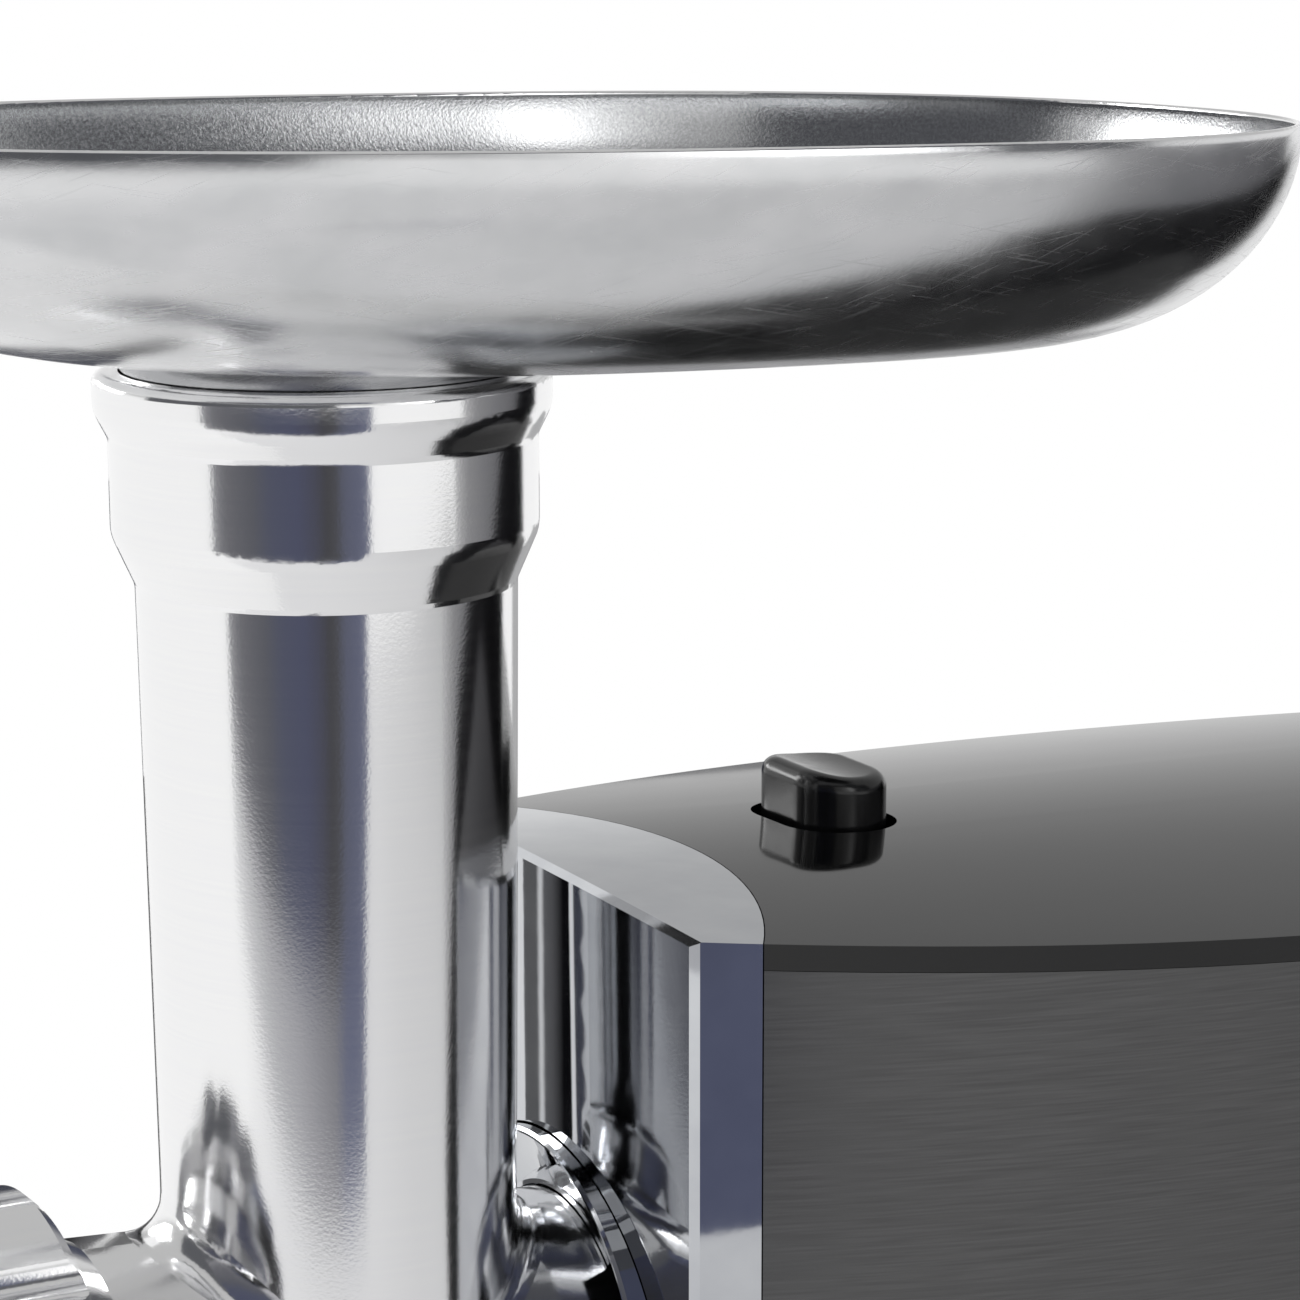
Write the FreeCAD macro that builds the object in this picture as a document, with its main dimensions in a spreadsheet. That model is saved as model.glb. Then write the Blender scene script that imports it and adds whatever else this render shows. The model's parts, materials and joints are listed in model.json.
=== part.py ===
import FreeCAD, Part
import math
import os
import re
import Sketcher

# Electric meat grinder, in millimetres.
# +X runs from the ring nut back to the motor, +Z is up, and the photographed side faces -Y.
# The origin lies on the table under the middle of the overall box.
# Stations along X are given from the vertical feed tube's axis, heights from the table.

SIZES = {
    # stance and main axes
    "axis_height": 150,          # auger axis above the table
    "motor_drop": 76,            # motor axis below the auger axis
    "seam": 0.2,                 # visible gap between casing pieces
    "running_gap": 0.05,         # radial play of a shaft in its bush
    "fit_gap": 0.3,              # play between loose pieces
    "press_gap": 0.02,           # what is left round a pressed pin
    # feed tube
    "shoulder_rise": 136.7,        # foot of the lower band above the auger axis
    "tube_radius": 30,           # outside, at the shoulder
    "tube_foot_radius": 28.5,    # outside, at the auger axis
    "tube_bore": 26,             # bore radius at the seat
    "tube_bore_foot": 23.4,      # bore radius at the auger axis
    "band_low_radius": 33.5,
    "band_low_cone": 8,          # height of the flare under the lower band
    "band_low_top": 23,
    "band_top_radius": 35.7,
    "band_top_foot": 27.3,
    "tube_rim": 33.3,            # rim above the shoulder
    "rim_round": 1.8,
    "band_round": 7,             # soft outer corners of the bands
    "band_cove": 2,              # inner corners under them
    "seat_height": 12,           # seat of the tray's neck above the shoulder
    "seat_radius": 31.6,
    # tray
    "tray_center": 62.8,         # widest place behind the tube axis
    "tray_front": 159.2,         # half length ahead of the widest place
    "tray_back": 99.7,           # half length behind it
    "tray_half_width": 86.4,
    "tray_floor": 36.6,          # underside above the shoulder
    "tray_depth": 34.6,
    "tray_sheet": 1.2,
    "tray_floor_share": 0.6,     # floor outline as a share of the rim outline
    "tray_droop": 0.7,           # degrees that the dish slopes to its rear end
    "tray_squareness": 2.3,      # exponent of the outline
    "neck_radius": 31.2,
    "neck_wall": 1.5,
    "neck_flare": 3,             # how far the neck opens out into the dish
    # barrel and its fittings
    "barrel_radius": 33,         # outside, ahead of the tube
    "barrel_bore": 24,
    "knife_room": 27.5,
    "barrel_front": 71,          # front end ahead of the tube axis
    "collar_radius": 36,         # thread collar
    "collar_length": 22,
    "collar_cone": 5,
    "seat_depth": 4,             # how far the plate sinks into the collar
    "plate_radius": 31,
    "plate_thick": 5,
    "plate_hole": 3.5,
    "plate_ring_inner": 11.5,
    "plate_ring_outer": 21.5,
    "key_width": 4,
    "key_height": 2.4,
    "pin_radius": 4.5,           # auger's front pin in the plate
    "knife_reach": 25.5,
    "knife_hub": 9.5,
    "knife_thick": 8,
    "knife_blade": 9,            # width of a blade at its root
    "nut_radius": 43,
    "nut_length": 27,
    "nut_lip": 5,
    "nut_mouth": 27.5,
    "nut_scallop": 5,
    "neck_fillet": 6,            # where the tube runs into the barrel
    # bayonet
    "bayonet_radius": 28,        # outside, where the barrel enters the casing
    "bayonet_rear": 53,          # rear end of the head behind the tube axis
    "lug_reach": 33,
    "lug_front": 46,
    "lug_length": 6,
    "lug_span": 30,              # degrees
    "entry_span": 38,            # degrees
    "lug_count": 3,
    "rear_wall": 5,
    "rear_recess": 2.5,
    "rear_recess_radius": 21.5,
    # auger
    "flight_radius": 23.5,
    "flight_pitch": 28,
    "flight_thick_root": 7,
    "flight_thick_tip": 3,
    "flight_front": 56,          # first turn ahead of the tube axis
    "flight_back": 39.5,           # last turn behind it
    "auger_core_radius": 10,
    "auger_disc_radius": 22.5,
    "auger_disc": 3,
    "washer_thick": 2.5,
    "auger_neck": 12,
    "knife_square": 9,
    "tail_square": 14,
    "tail_length": 12,
    # casing
    "fascia_setback": 37.8,      # front of the casing behind the tube axis
    "body_rear": 300,            # rear of the casing behind the tube axis
    "body_half_width": 75.5,
    "body_widest": 180,          # widest place behind the tube axis
    "case_side_room": 2.9,       # between the gearbox lid and the casing's inner wall
    "front_radius": 463,         # bow of the front
    "rear_overlap": 0.25,        # how far the rear bow stands past the side bow where they meet
    "top_rise": 85.4,            # middle of the front's upper edge above the auger axis
    "crown_radius": 602,
    "crown_tilt": 1.7,           # degrees, falling to the rear
    "joint_radius": 92.5,        # line between fascia and cover, in plan
    "joint_back": 65.3,          # its rearmost point behind the tube axis
    "fascia_wall": 2.6,
    "fascia_chamfer": 1.1,
    "cover_wall": 2.5,
    "cover_band": 4.2,           # black band over the steel panel
    "panel_inset": 0.3,
    "panel_thick": 1.2,
    "housing_wall": 2.6,
    "panel_rear": 247,           # rear end of the steel panels
    "rear_wall_thick": 2.6,
    "pan_height": 10,
    "pan_floor": 3,
    "pan_wall": 3.2,
    "foot_height": 8,
    "foot_radius": 11,
    "foot_sink": 2,
    "foot_front": 72,
    "foot_back": 246,
    "foot_half_track": 44,
    "vent_width": 3,
    "vent_height": 46,
    "vent_pitch": 8,
    "vent_count": 7,
    "vent_low": 95,
    "post_radius": 5,
    "post_height": 40,
    "post_front": 110,
    "post_back": 232,
    "screw_radius": 1.8,
    "screw_head": 3.4,
    "screw_head_thick": 2.4,
    "screw_reach": 24,
    "gland_radius": 8,
    "gland_bore": 4,
    "gland_flange": 10.5,
    "gland_proud": 3,
    "gland_height": 42,
    # socket
    "ring_radius": 39,
    "ring_proud": 2.6,
    "ring_bore": 28.3,
    "ring_dish": 4.3,            # depth of the ring's dished face
    "groove_radius": 33.3,
    "bulkhead_setback": 16.2,    # behind the fascia's front
    "bulkhead_thick": 4,
    # release
    "button_back": 99,           # behind the tube axis
    "button_side": 13.5,         # towards the far side
    "button_length": 17.6,
    "button_width": 25.2,
    "button_roundness": 0.465,   # corner radius as a share of the length
    "button_proud": 11.2,
    "button_sink": 5,
    "button_gap": 1.9,
    "button_travel": 4,
    "button_dish": 30,           # radius of the hollow thumb rest
    "dish_back": 2.5,            # lowest place of the thumb rest behind the button's middle
    "button_round": 2.6,         # rounding of its upper edge
    "cup_depth": 13,
    "cup_wall": 1.8,
    "stem_radius": 4,
    "stem_tip": 1.5,
    "spring_radius": 6.5,
    "spring_wire": 0.9,
    "spring_turns": 4,
    "lever_drop": 27,            # lever's pivot below the casing's top
    "lever_pivot": 74,           # behind the tube axis
    "lever_thick": 6,
    "lever_nose": 49,            # nose behind the tube axis
    "nose_length": 5,
    "nose_tip_rise": 27.5,
    "lever_pin": 2,
    "ear_thick": 3,
    # gearbox
    "wall_thick": 6,             # front plate
    "case_depth": 40,            # inside
    "case_back": 5,
    "gear_module": 1.5,
    "gear_teeth": 54,
    "idler_small_teeth": 12,
    "idler_module": 1,
    "idler_large_teeth": 60,
    "pinion_teeth": 12,
    "profile_shift": 0.35,
    "backlash": 0.18,
    "gear_width": 16,
    "gear_front": 6,             # output gear behind the case's inner front
    "idler_large_width": 10,
    "pinion_width": 12,
    "case_radius": 46.5,
    "case_bore": 43.5,
    "idler_case": 36,
    "idler_case_small": 17,
    "case_wall": 3,
    "hub_radius": 13,
    "bush_wall": 4,
    "shaft_radius": 10,
    "journal_radius": 7,
    "idler_pin": 5,
    "ear_radius": 6,
    "ear_circle": 50,
    "ear_depth": 14,
    "case_screw": 2,
    "case_screw_head": 3.5,
    # motor
    "bracket_radius": 44,
    "bracket_wall": 3,
    "bracket_plate": 5,
    "bracket_depth": 26,         # front cup, up to the stator
    "stack_length": 48,
    "stator_radius": 47,
    "stator_flat": 41,
    "pole_half": 23.6,
    "window_radius": 36.3,
    "armature_radius": 24,
    "air_gap": 0.6,
    "slot_count": 12,
    "slot_width": 2.6,
    "slot_depth": 8,
    "motor_shaft": 4,
    "winding_radius": 21,
    "winding_length": 11,
    "coil_outer": 35.6,
    "coil_inner": 26,
    "coil_end": 8,
    "commutator_radius": 12,
    "commutator_length": 16,
    "fan_radius": 37,
    "fan_width": 9,
    "fan_blades": 11,
    "bearing_radius": 11,
    "bearing_width": 7,
    "brush_width": 7,
    "brush_height": 9,
    "brush_reach": 20,
    "holder_wall": 1.6,
    "holder_reach": 22,
    "bolt_radius": 2,
    "bolt_circle": 41.5,
    "leg_half": 16,
    # switch
    "switch_height": 112,
    "rocker_width": 15,
    "rocker_height": 25,
    "rocker_swing": 12,          # degrees to each side
    "bezel_rim": 4,
    "bezel_thick": 2.2,
    "switch_depth": 24,
    "switch_wall": 1.6,
}

# Places and sizes that follow from the driving ones, as expressions on them.
DERIVED = {
    "tube_x": "((tray_front - tray_center) * cos(tray_droop) - tray_depth * sin(tray_droop)"
              " - body_rear - gland_proud) / 2",
    "shoulder": "axis_height + shoulder_rise",
    "top_height": "axis_height + top_rise",
    "plate_back": "tube_x - barrel_front + seat_depth",
    "plate_front": "plate_back - plate_thick",
    "nut_front": "plate_front - fit_gap - nut_lip",
    "fascia_x": "tube_x + fascia_setback",
    "ring_front": "fascia_x - ring_proud",
    "bulkhead_x": "fascia_x + bulkhead_setback",
    "case_front": "bulkhead_x + bulkhead_thick",
    "case_inner": "case_front + wall_thick",
    "case_rear": "case_inner + case_depth",
    "motor_front": "case_rear + case_back",
    "stack_front": "motor_front + bracket_plate + bracket_depth",
    "stack_rear": "stack_front + stack_length",
    "motor_z": "axis_height - motor_drop",
    "commutator_x": "stack_rear + winding_length + 1.5",
    "rear_bracket_x": "commutator_x + commutator_length + 2",
    "motor_end": "rear_bracket_x + bearing_width + 2",
    "rear_x": "tube_x + body_rear",
    "flank_run": "body_widest - fascia_setback - bulkhead_setback - bulkhead_thick",
    "flank_drop": "body_half_width - case_radius - case_side_room"
                  " - panel_inset - panel_thick - seam - housing_wall",
    "side_radius": "(flank_run ^ 2 + flank_drop ^ 2) / (2 * flank_drop)",
    "side_offset": "side_radius - body_half_width",
    "widest_x": "tube_x + body_widest",
    "rear_radius": "(side_radius ^ 2 - side_offset ^ 2 - (body_rear - body_widest) ^ 2)"
                   " / (2 * (side_radius - body_rear + body_widest)) + rear_overlap",
    "rear_middle": "rear_x - rear_radius",
    "bow_meet_x": "widest_x + side_radius * (rear_middle - widest_x)"
                  " / sqrt((rear_middle - widest_x) ^ 2 + side_offset ^ 2)",
    "joint_x": "tube_x + joint_back - joint_radius",
    "pan_top": "foot_height + pan_height",
    "gear_pitch": "gear_module * (gear_teeth + idler_small_teeth) / 2",
    "idler_pitch": "idler_module * (idler_large_teeth + pinion_teeth) / 2",
    "idler_fall": "(gear_pitch ^ 2 - idler_pitch ^ 2 + motor_drop ^ 2) / (2 * motor_drop)",
    "idler_y": "sqrt(gear_pitch ^ 2 - idler_fall ^ 2)",
    "idler_z": "axis_height - idler_fall",
    "idler_large_x": "case_inner + gear_front + gear_width + 3",
    "rear_bore_x": "tube_x + bayonet_rear - rear_recess - rear_wall",
    "button_x": "tube_x + button_back",
    "button_corner": "button_length * button_roundness",
    "dish_fall": "button_dish - sqrt(button_dish ^ 2 - (button_length / 2 + dish_back) ^ 2) + 0.2",
    "button_top": "top_height - (button_back - fascia_setback) * tan(crown_tilt)"
                  " - button_side ^ 2 / (2 * crown_radius)",
    "cup_floor": "button_top - cup_depth",
    "lever_rise": "top_rise - lever_drop",
    "lever_z": "axis_height + lever_rise",
    "lever_x": "tube_x + lever_pivot",
    "tail_x": "rear_bore_x + rear_wall + 0.2",
    "switch_y": "panel_inset - body_half_width",
    "post_front_y": "sqrt(side_radius ^ 2 - (body_widest - post_front) ^ 2) - side_offset - 8",
    "post_back_y": "sqrt(side_radius ^ 2 - (body_widest - post_back) ^ 2) - side_offset - 8",
}

WORD = re.compile(r"[a-z][a-z_0-9]*")
V = FreeCAD.Vector
# local x, y, z of a piece laid along X become Y, Z, X
ALONG = {
    "Z": FreeCAD.Rotation(),
    "X": FreeCAD.Rotation(V(1, 1, 1), 120),
    "Y": FreeCAD.Rotation(V(1, 0, 0), -90),
}

doc = FreeCAD.newDocument("MeatGrinder")
sheet = doc.addObject("Spreadsheet::Sheet", "Sizes")
for row, (alias, value) in enumerate(SIZES.items(), start=1):
    sheet.set("A%d" % row, alias)
    sheet.set("B%d" % row, str(value))
    sheet.setAlias("B%d" % row, alias)
doc.recompute()

nodes = []


def expr(text):
    """Spell out derived names and point every other known word at its cell."""
    def swap(match):
        word = match.group(0)
        if word in DERIVED:
            return "(" + expr(DERIVED[word]) + ")"
        if word in SIZES:
            return "Sizes." + word
        return word
    return WORD.sub(swap, str(text))


def num(text):
    """The present value of an expression."""
    return float(sheet.evalExpression(expr(text)))


def place(obj, at, along="Z"):
    """Put an object at a point given by three expressions."""
    obj.Placement = FreeCAD.Placement(V(0, 0, 0), ALONG[along])
    for letter, text in zip("xyz", at):
        obj.setExpression("Placement.Base." + letter, expr(text))
    return obj


def node(label, obj):
    """Declare a finished piece."""
    obj.Label = label
    nodes.append(obj)
    return obj


def cylinder(name, radius, length, at, along="Z", span=None):
    obj = doc.addObject("Part::Cylinder", name)
    obj.setExpression("Radius", expr(radius))
    obj.setExpression("Height", expr(length))
    if span is not None:
        obj.setExpression("Angle", expr(span))
    return place(obj, at, along)


def box(name, size, at):
    """A box by its size and its low corner."""
    obj = doc.addObject("Part::Box", name)
    for prop, text in zip(("Length", "Width", "Height"), size):
        obj.setExpression(prop, expr(text))
    return place(obj, at)


def fuse(name, pieces):
    obj = doc.addObject("Part::MultiFuse", name)
    obj.Shapes = pieces
    return obj


def common(name, pieces):
    obj = doc.addObject("Part::MultiCommon", name)
    obj.Shapes = pieces
    return obj


def cut(name, base, tools):
    obj = doc.addObject("Part::Cut", name)
    obj.Base = base
    obj.Tool = tools[0] if len(tools) == 1 else fuse(name + "_tools", tools)
    return obj


def group(name, pieces):
    """Separate like solids that share one node."""
    obj = doc.addObject("Part::Compound", name)
    obj.Links = pieces
    return obj


def feature(name, shape, at=("0", "0", "0"), along="Z"):
    """A shape worked out in code, with its own turns and shifts taken into its geometry."""
    fixed = shape.copy()
    moved = fixed.Placement.toMatrix()
    fixed.Placement = FreeCAD.Placement()
    fixed.transformShape(moved, True)
    obj = doc.addObject("Part::Feature", name)
    obj.Shape = fixed
    return place(obj, at, along)


def turned(name, corners, at, about):
    """A body revolved about X from corners (x, r), or about Z from corners (r, z)."""
    body = doc.addObject("PartDesign::Body", name)
    sketch = body.newObject("Sketcher::SketchObject", name + "_profile")
    plane = [item for item in body.Origin.OriginFeatures if item.Role == "XZ_Plane"][0]
    sketch.AttachmentSupport = [(plane, "")]
    sketch.MapMode = "FlatFace"
    points = [V(num(u), num(v), 0) for u, v in corners]
    count = len(points)
    for i in range(count):
        sketch.addGeometry(Part.LineSegment(points[i], points[(i + 1) % count]))
    for i in range(count):
        sketch.addConstraint(Sketcher.Constraint("Coincident", i, 2, (i + 1) % count, 1))
    for i in range(count):
        for kind, text in zip(("DistanceX", "DistanceY"), corners[i]):
            index = sketch.addConstraint(Sketcher.Constraint(kind, -1, 1, i, 1, num(text)))
            sketch.setExpression("Constraints[%d]" % index, expr(text))
    spin = body.newObject("PartDesign::Revolution", name + "_turn")
    spin.Profile = sketch
    spin.ReferenceAxis = (sketch, ["H_Axis" if about == "X" else "V_Axis"])
    spin.Angle = 360
    return place(body, at)


def rounded(name, base, radius, wanted):
    """Fillet the edges of an object that a test picks out."""
    doc.recompute()
    obj = doc.addObject("Part::Fillet", name)
    obj.Base = base
    picked = [i for i, edge in enumerate(base.Shape.Edges, start=1) if wanted(edge)]
    obj.Edges = [(i, num(radius), num(radius)) for i in picked]
    return obj


def level_at(edge, heights):
    """Whether an edge lies level at one of some heights."""
    low, high = edge.BoundBox.ZMin, edge.BoundBox.ZMax
    return high - low < 0.01 and any(abs(low - height) < 0.01 for height in heights)


def upright(edge):
    """Whether an edge is a straight vertical one."""
    first, last = edge.Vertexes[0].Point, edge.Vertexes[-1].Point
    return abs(first.x - last.x) < 1e-6 and abs(first.y - last.y) < 1e-6


def slab(name, size, corner, at):
    """A plate with rounded vertical corners, by its size and the middle of its underside."""
    base = box(name + "_block", size, ("%s - (%s) / 2" % (at[0], size[0]),
                                       "%s - (%s) / 2" % (at[1], size[1]), at[2]))
    return rounded(name, base, corner, upright)


# Tray

def tray_outline(share, height):
    """Egg outline: two half superellipses that meet at the widest place."""
    power = 2 / num("tray_squareness")
    points = []
    steps = 28
    for i in range(steps):
        angle = 2 * math.pi * i / steps
        c, s = math.cos(angle), math.sin(angle)
        reach = num("tray_back") if c > 0 else num("tray_front")
        x = num("tray_center") + share * reach * math.copysign(abs(c) ** power, c)
        y = share * num("tray_half_width") * math.copysign(abs(s) ** power, s)
        points.append(V(x, y, height))
    curve = Part.BSplineCurve()
    curve.interpolate(Points=points, PeriodicFlag=True)
    return Part.Wire(curve.toShape())


def tray_form(inset, low, high):
    """The dish's solid form between two heights, drawn in by the inset all round."""
    wires = []
    floor_share = num("tray_floor_share")
    for rise in (0.0, 0.07, 0.25, 0.55, 1.0):
        bulge = math.sqrt(1 - (1 - rise) ** 2)
        share = floor_share + (1 - floor_share) * bulge - inset / num("tray_half_width")
        wires.append(tray_outline(share, low + rise * (high - low)))
    return Part.makeLoft(wires, True, False)


def make_tray():
    sheet_thick = num("tray_sheet")
    depth = num("tray_depth")
    outside = tray_form(0, 0, depth)
    inside = tray_form(sheet_thick, sheet_thick, depth + 0.01)
    dish = outside.cut(inside)
    dish.rotate(V(0, 0, 0), V(0, 1, 0), num("tray_droop"))
    dish = feature("dish", dish, ("tube_x", "0", "shoulder + tray_floor"))
    throat = cylinder("throat", "neck_radius - neck_wall + neck_flare / 2", "tray_depth",
                      ("tube_x", "0", "shoulder + tray_floor - tray_sheet"))
    holed = cut("holed_dish", dish, [throat])
    neck = turned("tray_neck", [
        ("neck_radius - neck_wall", "0"),
        ("neck_radius", "0"),
        ("neck_radius", "tube_rim - seat_height + fit_gap"),
        ("neck_radius + neck_flare", "tray_floor - seat_height - tray_sheet"),
        ("neck_radius + neck_flare", "tray_floor - seat_height + tray_sheet / 2"),
        ("neck_radius - neck_wall + neck_flare / 2", "tray_floor - seat_height + tray_sheet / 2"),
        ("neck_radius - neck_wall", "tube_rim - seat_height - neck_flare"),
    ], ("tube_x", "0", "shoulder + seat_height"), "Z")
    node("hopper_tray", fuse("hopper_tray", [holed, neck]))


# Head and what it holds

def make_head():
    tube = turned("tube_form", [
        ("0", "0"),
        ("tube_foot_radius", "0"),
        ("tube_radius", "shoulder_rise"),
        ("band_low_radius", "shoulder_rise + band_low_cone"),
        ("band_low_radius", "shoulder_rise + band_low_top"),
        ("band_top_radius", "shoulder_rise + band_top_foot"),
        ("band_top_radius", "shoulder_rise + tube_rim"),
        ("0", "shoulder_rise + tube_rim"),
    ], ("tube_x", "0", "axis_height"), "Z")
    for turn, radius, rises in (
            ("band_turn", "band_round", ("band_low_cone", "band_top_foot")),
            ("cove_turn", "band_cove", ("0", "band_low_top")),
            ("rim_turn", "rim_round", ("tube_rim",))):
        heights = [num("shoulder + " + rise) for rise in rises]
        tube = rounded(turn, tube, radius, lambda edge: level_at(edge, heights))
    barrel = turned("barrel_form", [
        ("-barrel_front", "0"),
        ("-barrel_front", "collar_radius"),
        ("collar_length - barrel_front", "collar_radius"),
        ("collar_length + collar_cone - barrel_front", "barrel_radius"),
        ("fascia_setback", "bayonet_radius"),
        ("bayonet_rear", "bayonet_radius"),
        ("bayonet_rear", "0"),
    ], ("tube_x", "0", "axis_height"), "X")
    raw = fuse("head_form", [tube, barrel])
    low = num("axis_height")
    high = num("axis_height + barrel_radius + 2")

    def joint(edge):
        middle = edge.BoundBox
        wide = middle.XLength > num("tube_foot_radius") and middle.YLength > num("tube_foot_radius")
        return wide and middle.ZMin > low + 2 and middle.ZMax < high
    smooth = rounded("head_smooth", raw, "neck_fillet", joint)
    lugs = []
    for i in range(int(num("lug_count"))):
        lug = cylinder("lug_%d" % i, "lug_reach", "lug_length",
                       ("tube_x + lug_front", "0", "axis_height"), "X", "lug_span")
        start = 90 - num("lug_span") / 2 + math.degrees(math.tau * i / num("lug_count"))
        lug.Placement.Rotation = ALONG["X"].multiply(FreeCAD.Rotation(V(0, 0, 1), start))
        lugs.append(lug)
    solid = fuse("head_solid", [smooth] + lugs)
    bores = [
        cylinder("barrel_hole", "barrel_bore", "rear_bore_x - tube_x + barrel_front + 1",
                 ("tube_x - barrel_front - 1", "0", "axis_height"), "X"),
        cylinder("knife_chamber", "knife_room", "knife_thick + 2",
                 ("plate_back", "0", "axis_height"), "X"),
        cylinder("plate_seat", "plate_radius + fit_gap", "seat_depth + 1",
                 ("plate_back - seat_depth - 1", "0", "axis_height"), "X"),
        cylinder("auger_hole", "auger_neck + running_gap", "rear_wall + 2",
                 ("rear_bore_x - 1", "0", "axis_height"), "X"),
        cylinder("drive_recess", "rear_recess_radius", "rear_recess + 1",
                 ("rear_bore_x + rear_wall", "0", "axis_height"), "X"),
        turned("feed_hole", [
            ("0", "0"),
            ("tube_bore_foot", "0"),
            ("tube_bore", "shoulder_rise + seat_height"),
            ("seat_radius", "shoulder_rise + seat_height"),
            ("seat_radius", "shoulder_rise + tube_rim + 1"),
            ("0", "shoulder_rise + tube_rim + 1"),
        ], ("tube_x", "0", "axis_height"), "Z"),
    ]
    hollow = cut("head_hollow", solid, bores)
    key = box("plate_key", ("seat_depth", "key_width", "key_height"),
              ("plate_back - seat_depth", "-key_width / 2",
               "axis_height + plate_radius - key_height + 0.6"))
    node("grinder_head", fuse("grinder_head", [hollow, key]))


def make_plate():
    disc = cylinder("plate_disc", "plate_radius", "plate_thick", ("plate_front", "0", "axis_height"), "X")
    holes = [cylinder("plate_eye", "pin_radius + running_gap", "plate_thick + 2",
                      ("plate_front - 1", "0", "axis_height"), "X")]
    for ring, count in (("plate_ring_inner", 8), ("plate_ring_outer", 15)):
        for i in range(count):
            turn = "%s * 360 / %s" % (i, count)
            holes.append(cylinder("mince_%s_%d" % (ring, i), "plate_hole", "plate_thick + 2",
                                  ("plate_front - 1", "%s * sin(%s)" % (ring, turn),
                                   "axis_height + %s * cos(%s)" % (ring, turn)), "X"))
    holes.append(box("plate_notch", ("plate_thick + 2", "key_width + 2 * fit_gap", "key_height + 2"),
                     ("plate_front - 1", "-key_width / 2 - fit_gap",
                      "axis_height + plate_radius - key_height")))
    node("cutting_plate", cut("cutting_plate", disc, holes))


def make_knife():
    front = "plate_back + 0.1"
    hub = cylinder("knife_hub_form", "knife_hub", "knife_thick", (front, "0", "axis_height"), "X")
    blades = []
    for i in range(4):
        # each blade leans back from its cutting edge at the plate
        half = num("knife_blade") / 2
        thick = num("knife_thick")
        reach = num("knife_reach")
        lean = num("knife_thick") / 3
        foot = [V(-half, 0, 0), V(half, 0, 0), V(half - lean, 0, thick), V(-half + lean, 0, thick)]
        tip = [V(-half, reach, 0), V(half / 3, reach, 0), V(half / 3 - lean / 2, reach - lean, thick / 2),
               V(-half + lean / 2, reach - lean, thick / 2)]
        wires = [Part.makePolygon(loop + [loop[0]]) for loop in (foot, tip)]
        blade = Part.makeLoft(wires, True, True)
        blade.rotate(V(0, 0, 0), V(0, 0, 1), 90 * i)
        blades.append(feature("blade_%d" % i, blade, (front, "0", "axis_height"), "X"))
    whole = fuse("knife_form", [hub] + blades)
    side = "knife_square + 2 * fit_gap / 3"
    eye = box("knife_eye", ("knife_thick + 2", side, side),
              (front + " - 1", "-(%s) / 2" % side, "axis_height - (%s) / 2" % side))
    node("knife", cut("knife", whole, [eye]))


def flight():
    """One helical blade with a tapered section, wound about Z from zero."""
    pitch = num("flight_pitch")
    length = num("flight_front + flight_back") - num("flight_thick_root")
    inner = num("auger_core_radius") - 1.5
    outer = num("flight_radius")
    root = num("flight_thick_root") / 2
    tip = num("flight_thick_tip") / 2
    spine = Part.Wire(Part.makeHelix(pitch, length, (inner + outer) / 2))
    section = Part.makePolygon([V(inner, 0, -root), V(outer, 0, -tip), V(outer, 0, tip),
                                V(inner, 0, root), V(inner, 0, -root)])
    sweep = Part.BRepOffsetAPI.MakePipeShell(spine)
    sweep.setFrenetMode(True)
    sweep.add(section)
    sweep.build()
    sweep.makeSolid()
    blade = sweep.shape()
    blade.translate(V(0, 0, num("flight_thick_root") / 2))
    return blade


def make_auger():
    core = turned("auger_core", [
        ("plate_front + 0.5", "0"),
        ("plate_front + 0.5", "pin_radius"),
        ("plate_back + knife_thick + 0.2", "pin_radius"),
        ("plate_back + knife_thick + 0.2", "auger_core_radius - 3"),
        ("tube_x + flight_back", "auger_core_radius"),
        ("tube_x + flight_back", "auger_disc_radius"),
        ("tube_x + flight_back + auger_disc", "auger_disc_radius"),
        ("tube_x + flight_back + auger_disc", "auger_neck"),
        ("tail_x", "auger_neck"),
        ("tail_x", "0"),
    ], ("0", "0", "axis_height"), "X")
    blade = feature("auger_flight", flight(), ("tube_x - flight_front", "0", "axis_height"), "X")
    square = box("auger_square", ("knife_thick + 0.2", "knife_square", "knife_square"),
                 ("plate_back + 0.1", "-knife_square / 2", "axis_height - knife_square / 2"))
    tail = box("auger_tail", ("tail_length", "tail_square", "tail_square"),
               ("tail_x", "-tail_square / 2", "axis_height - tail_square / 2"))
    node("auger", fuse("auger", [core, blade, square, tail]))
    node("auger_washer", turned("auger_washer", [
        ("0", "auger_neck + press_gap"),
        ("0", "auger_disc_radius"),
        ("washer_thick", "auger_disc_radius"),
        ("washer_thick", "auger_neck + press_gap"),
    ], ("tube_x + flight_back + auger_disc", "0", "axis_height"), "X"))


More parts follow.
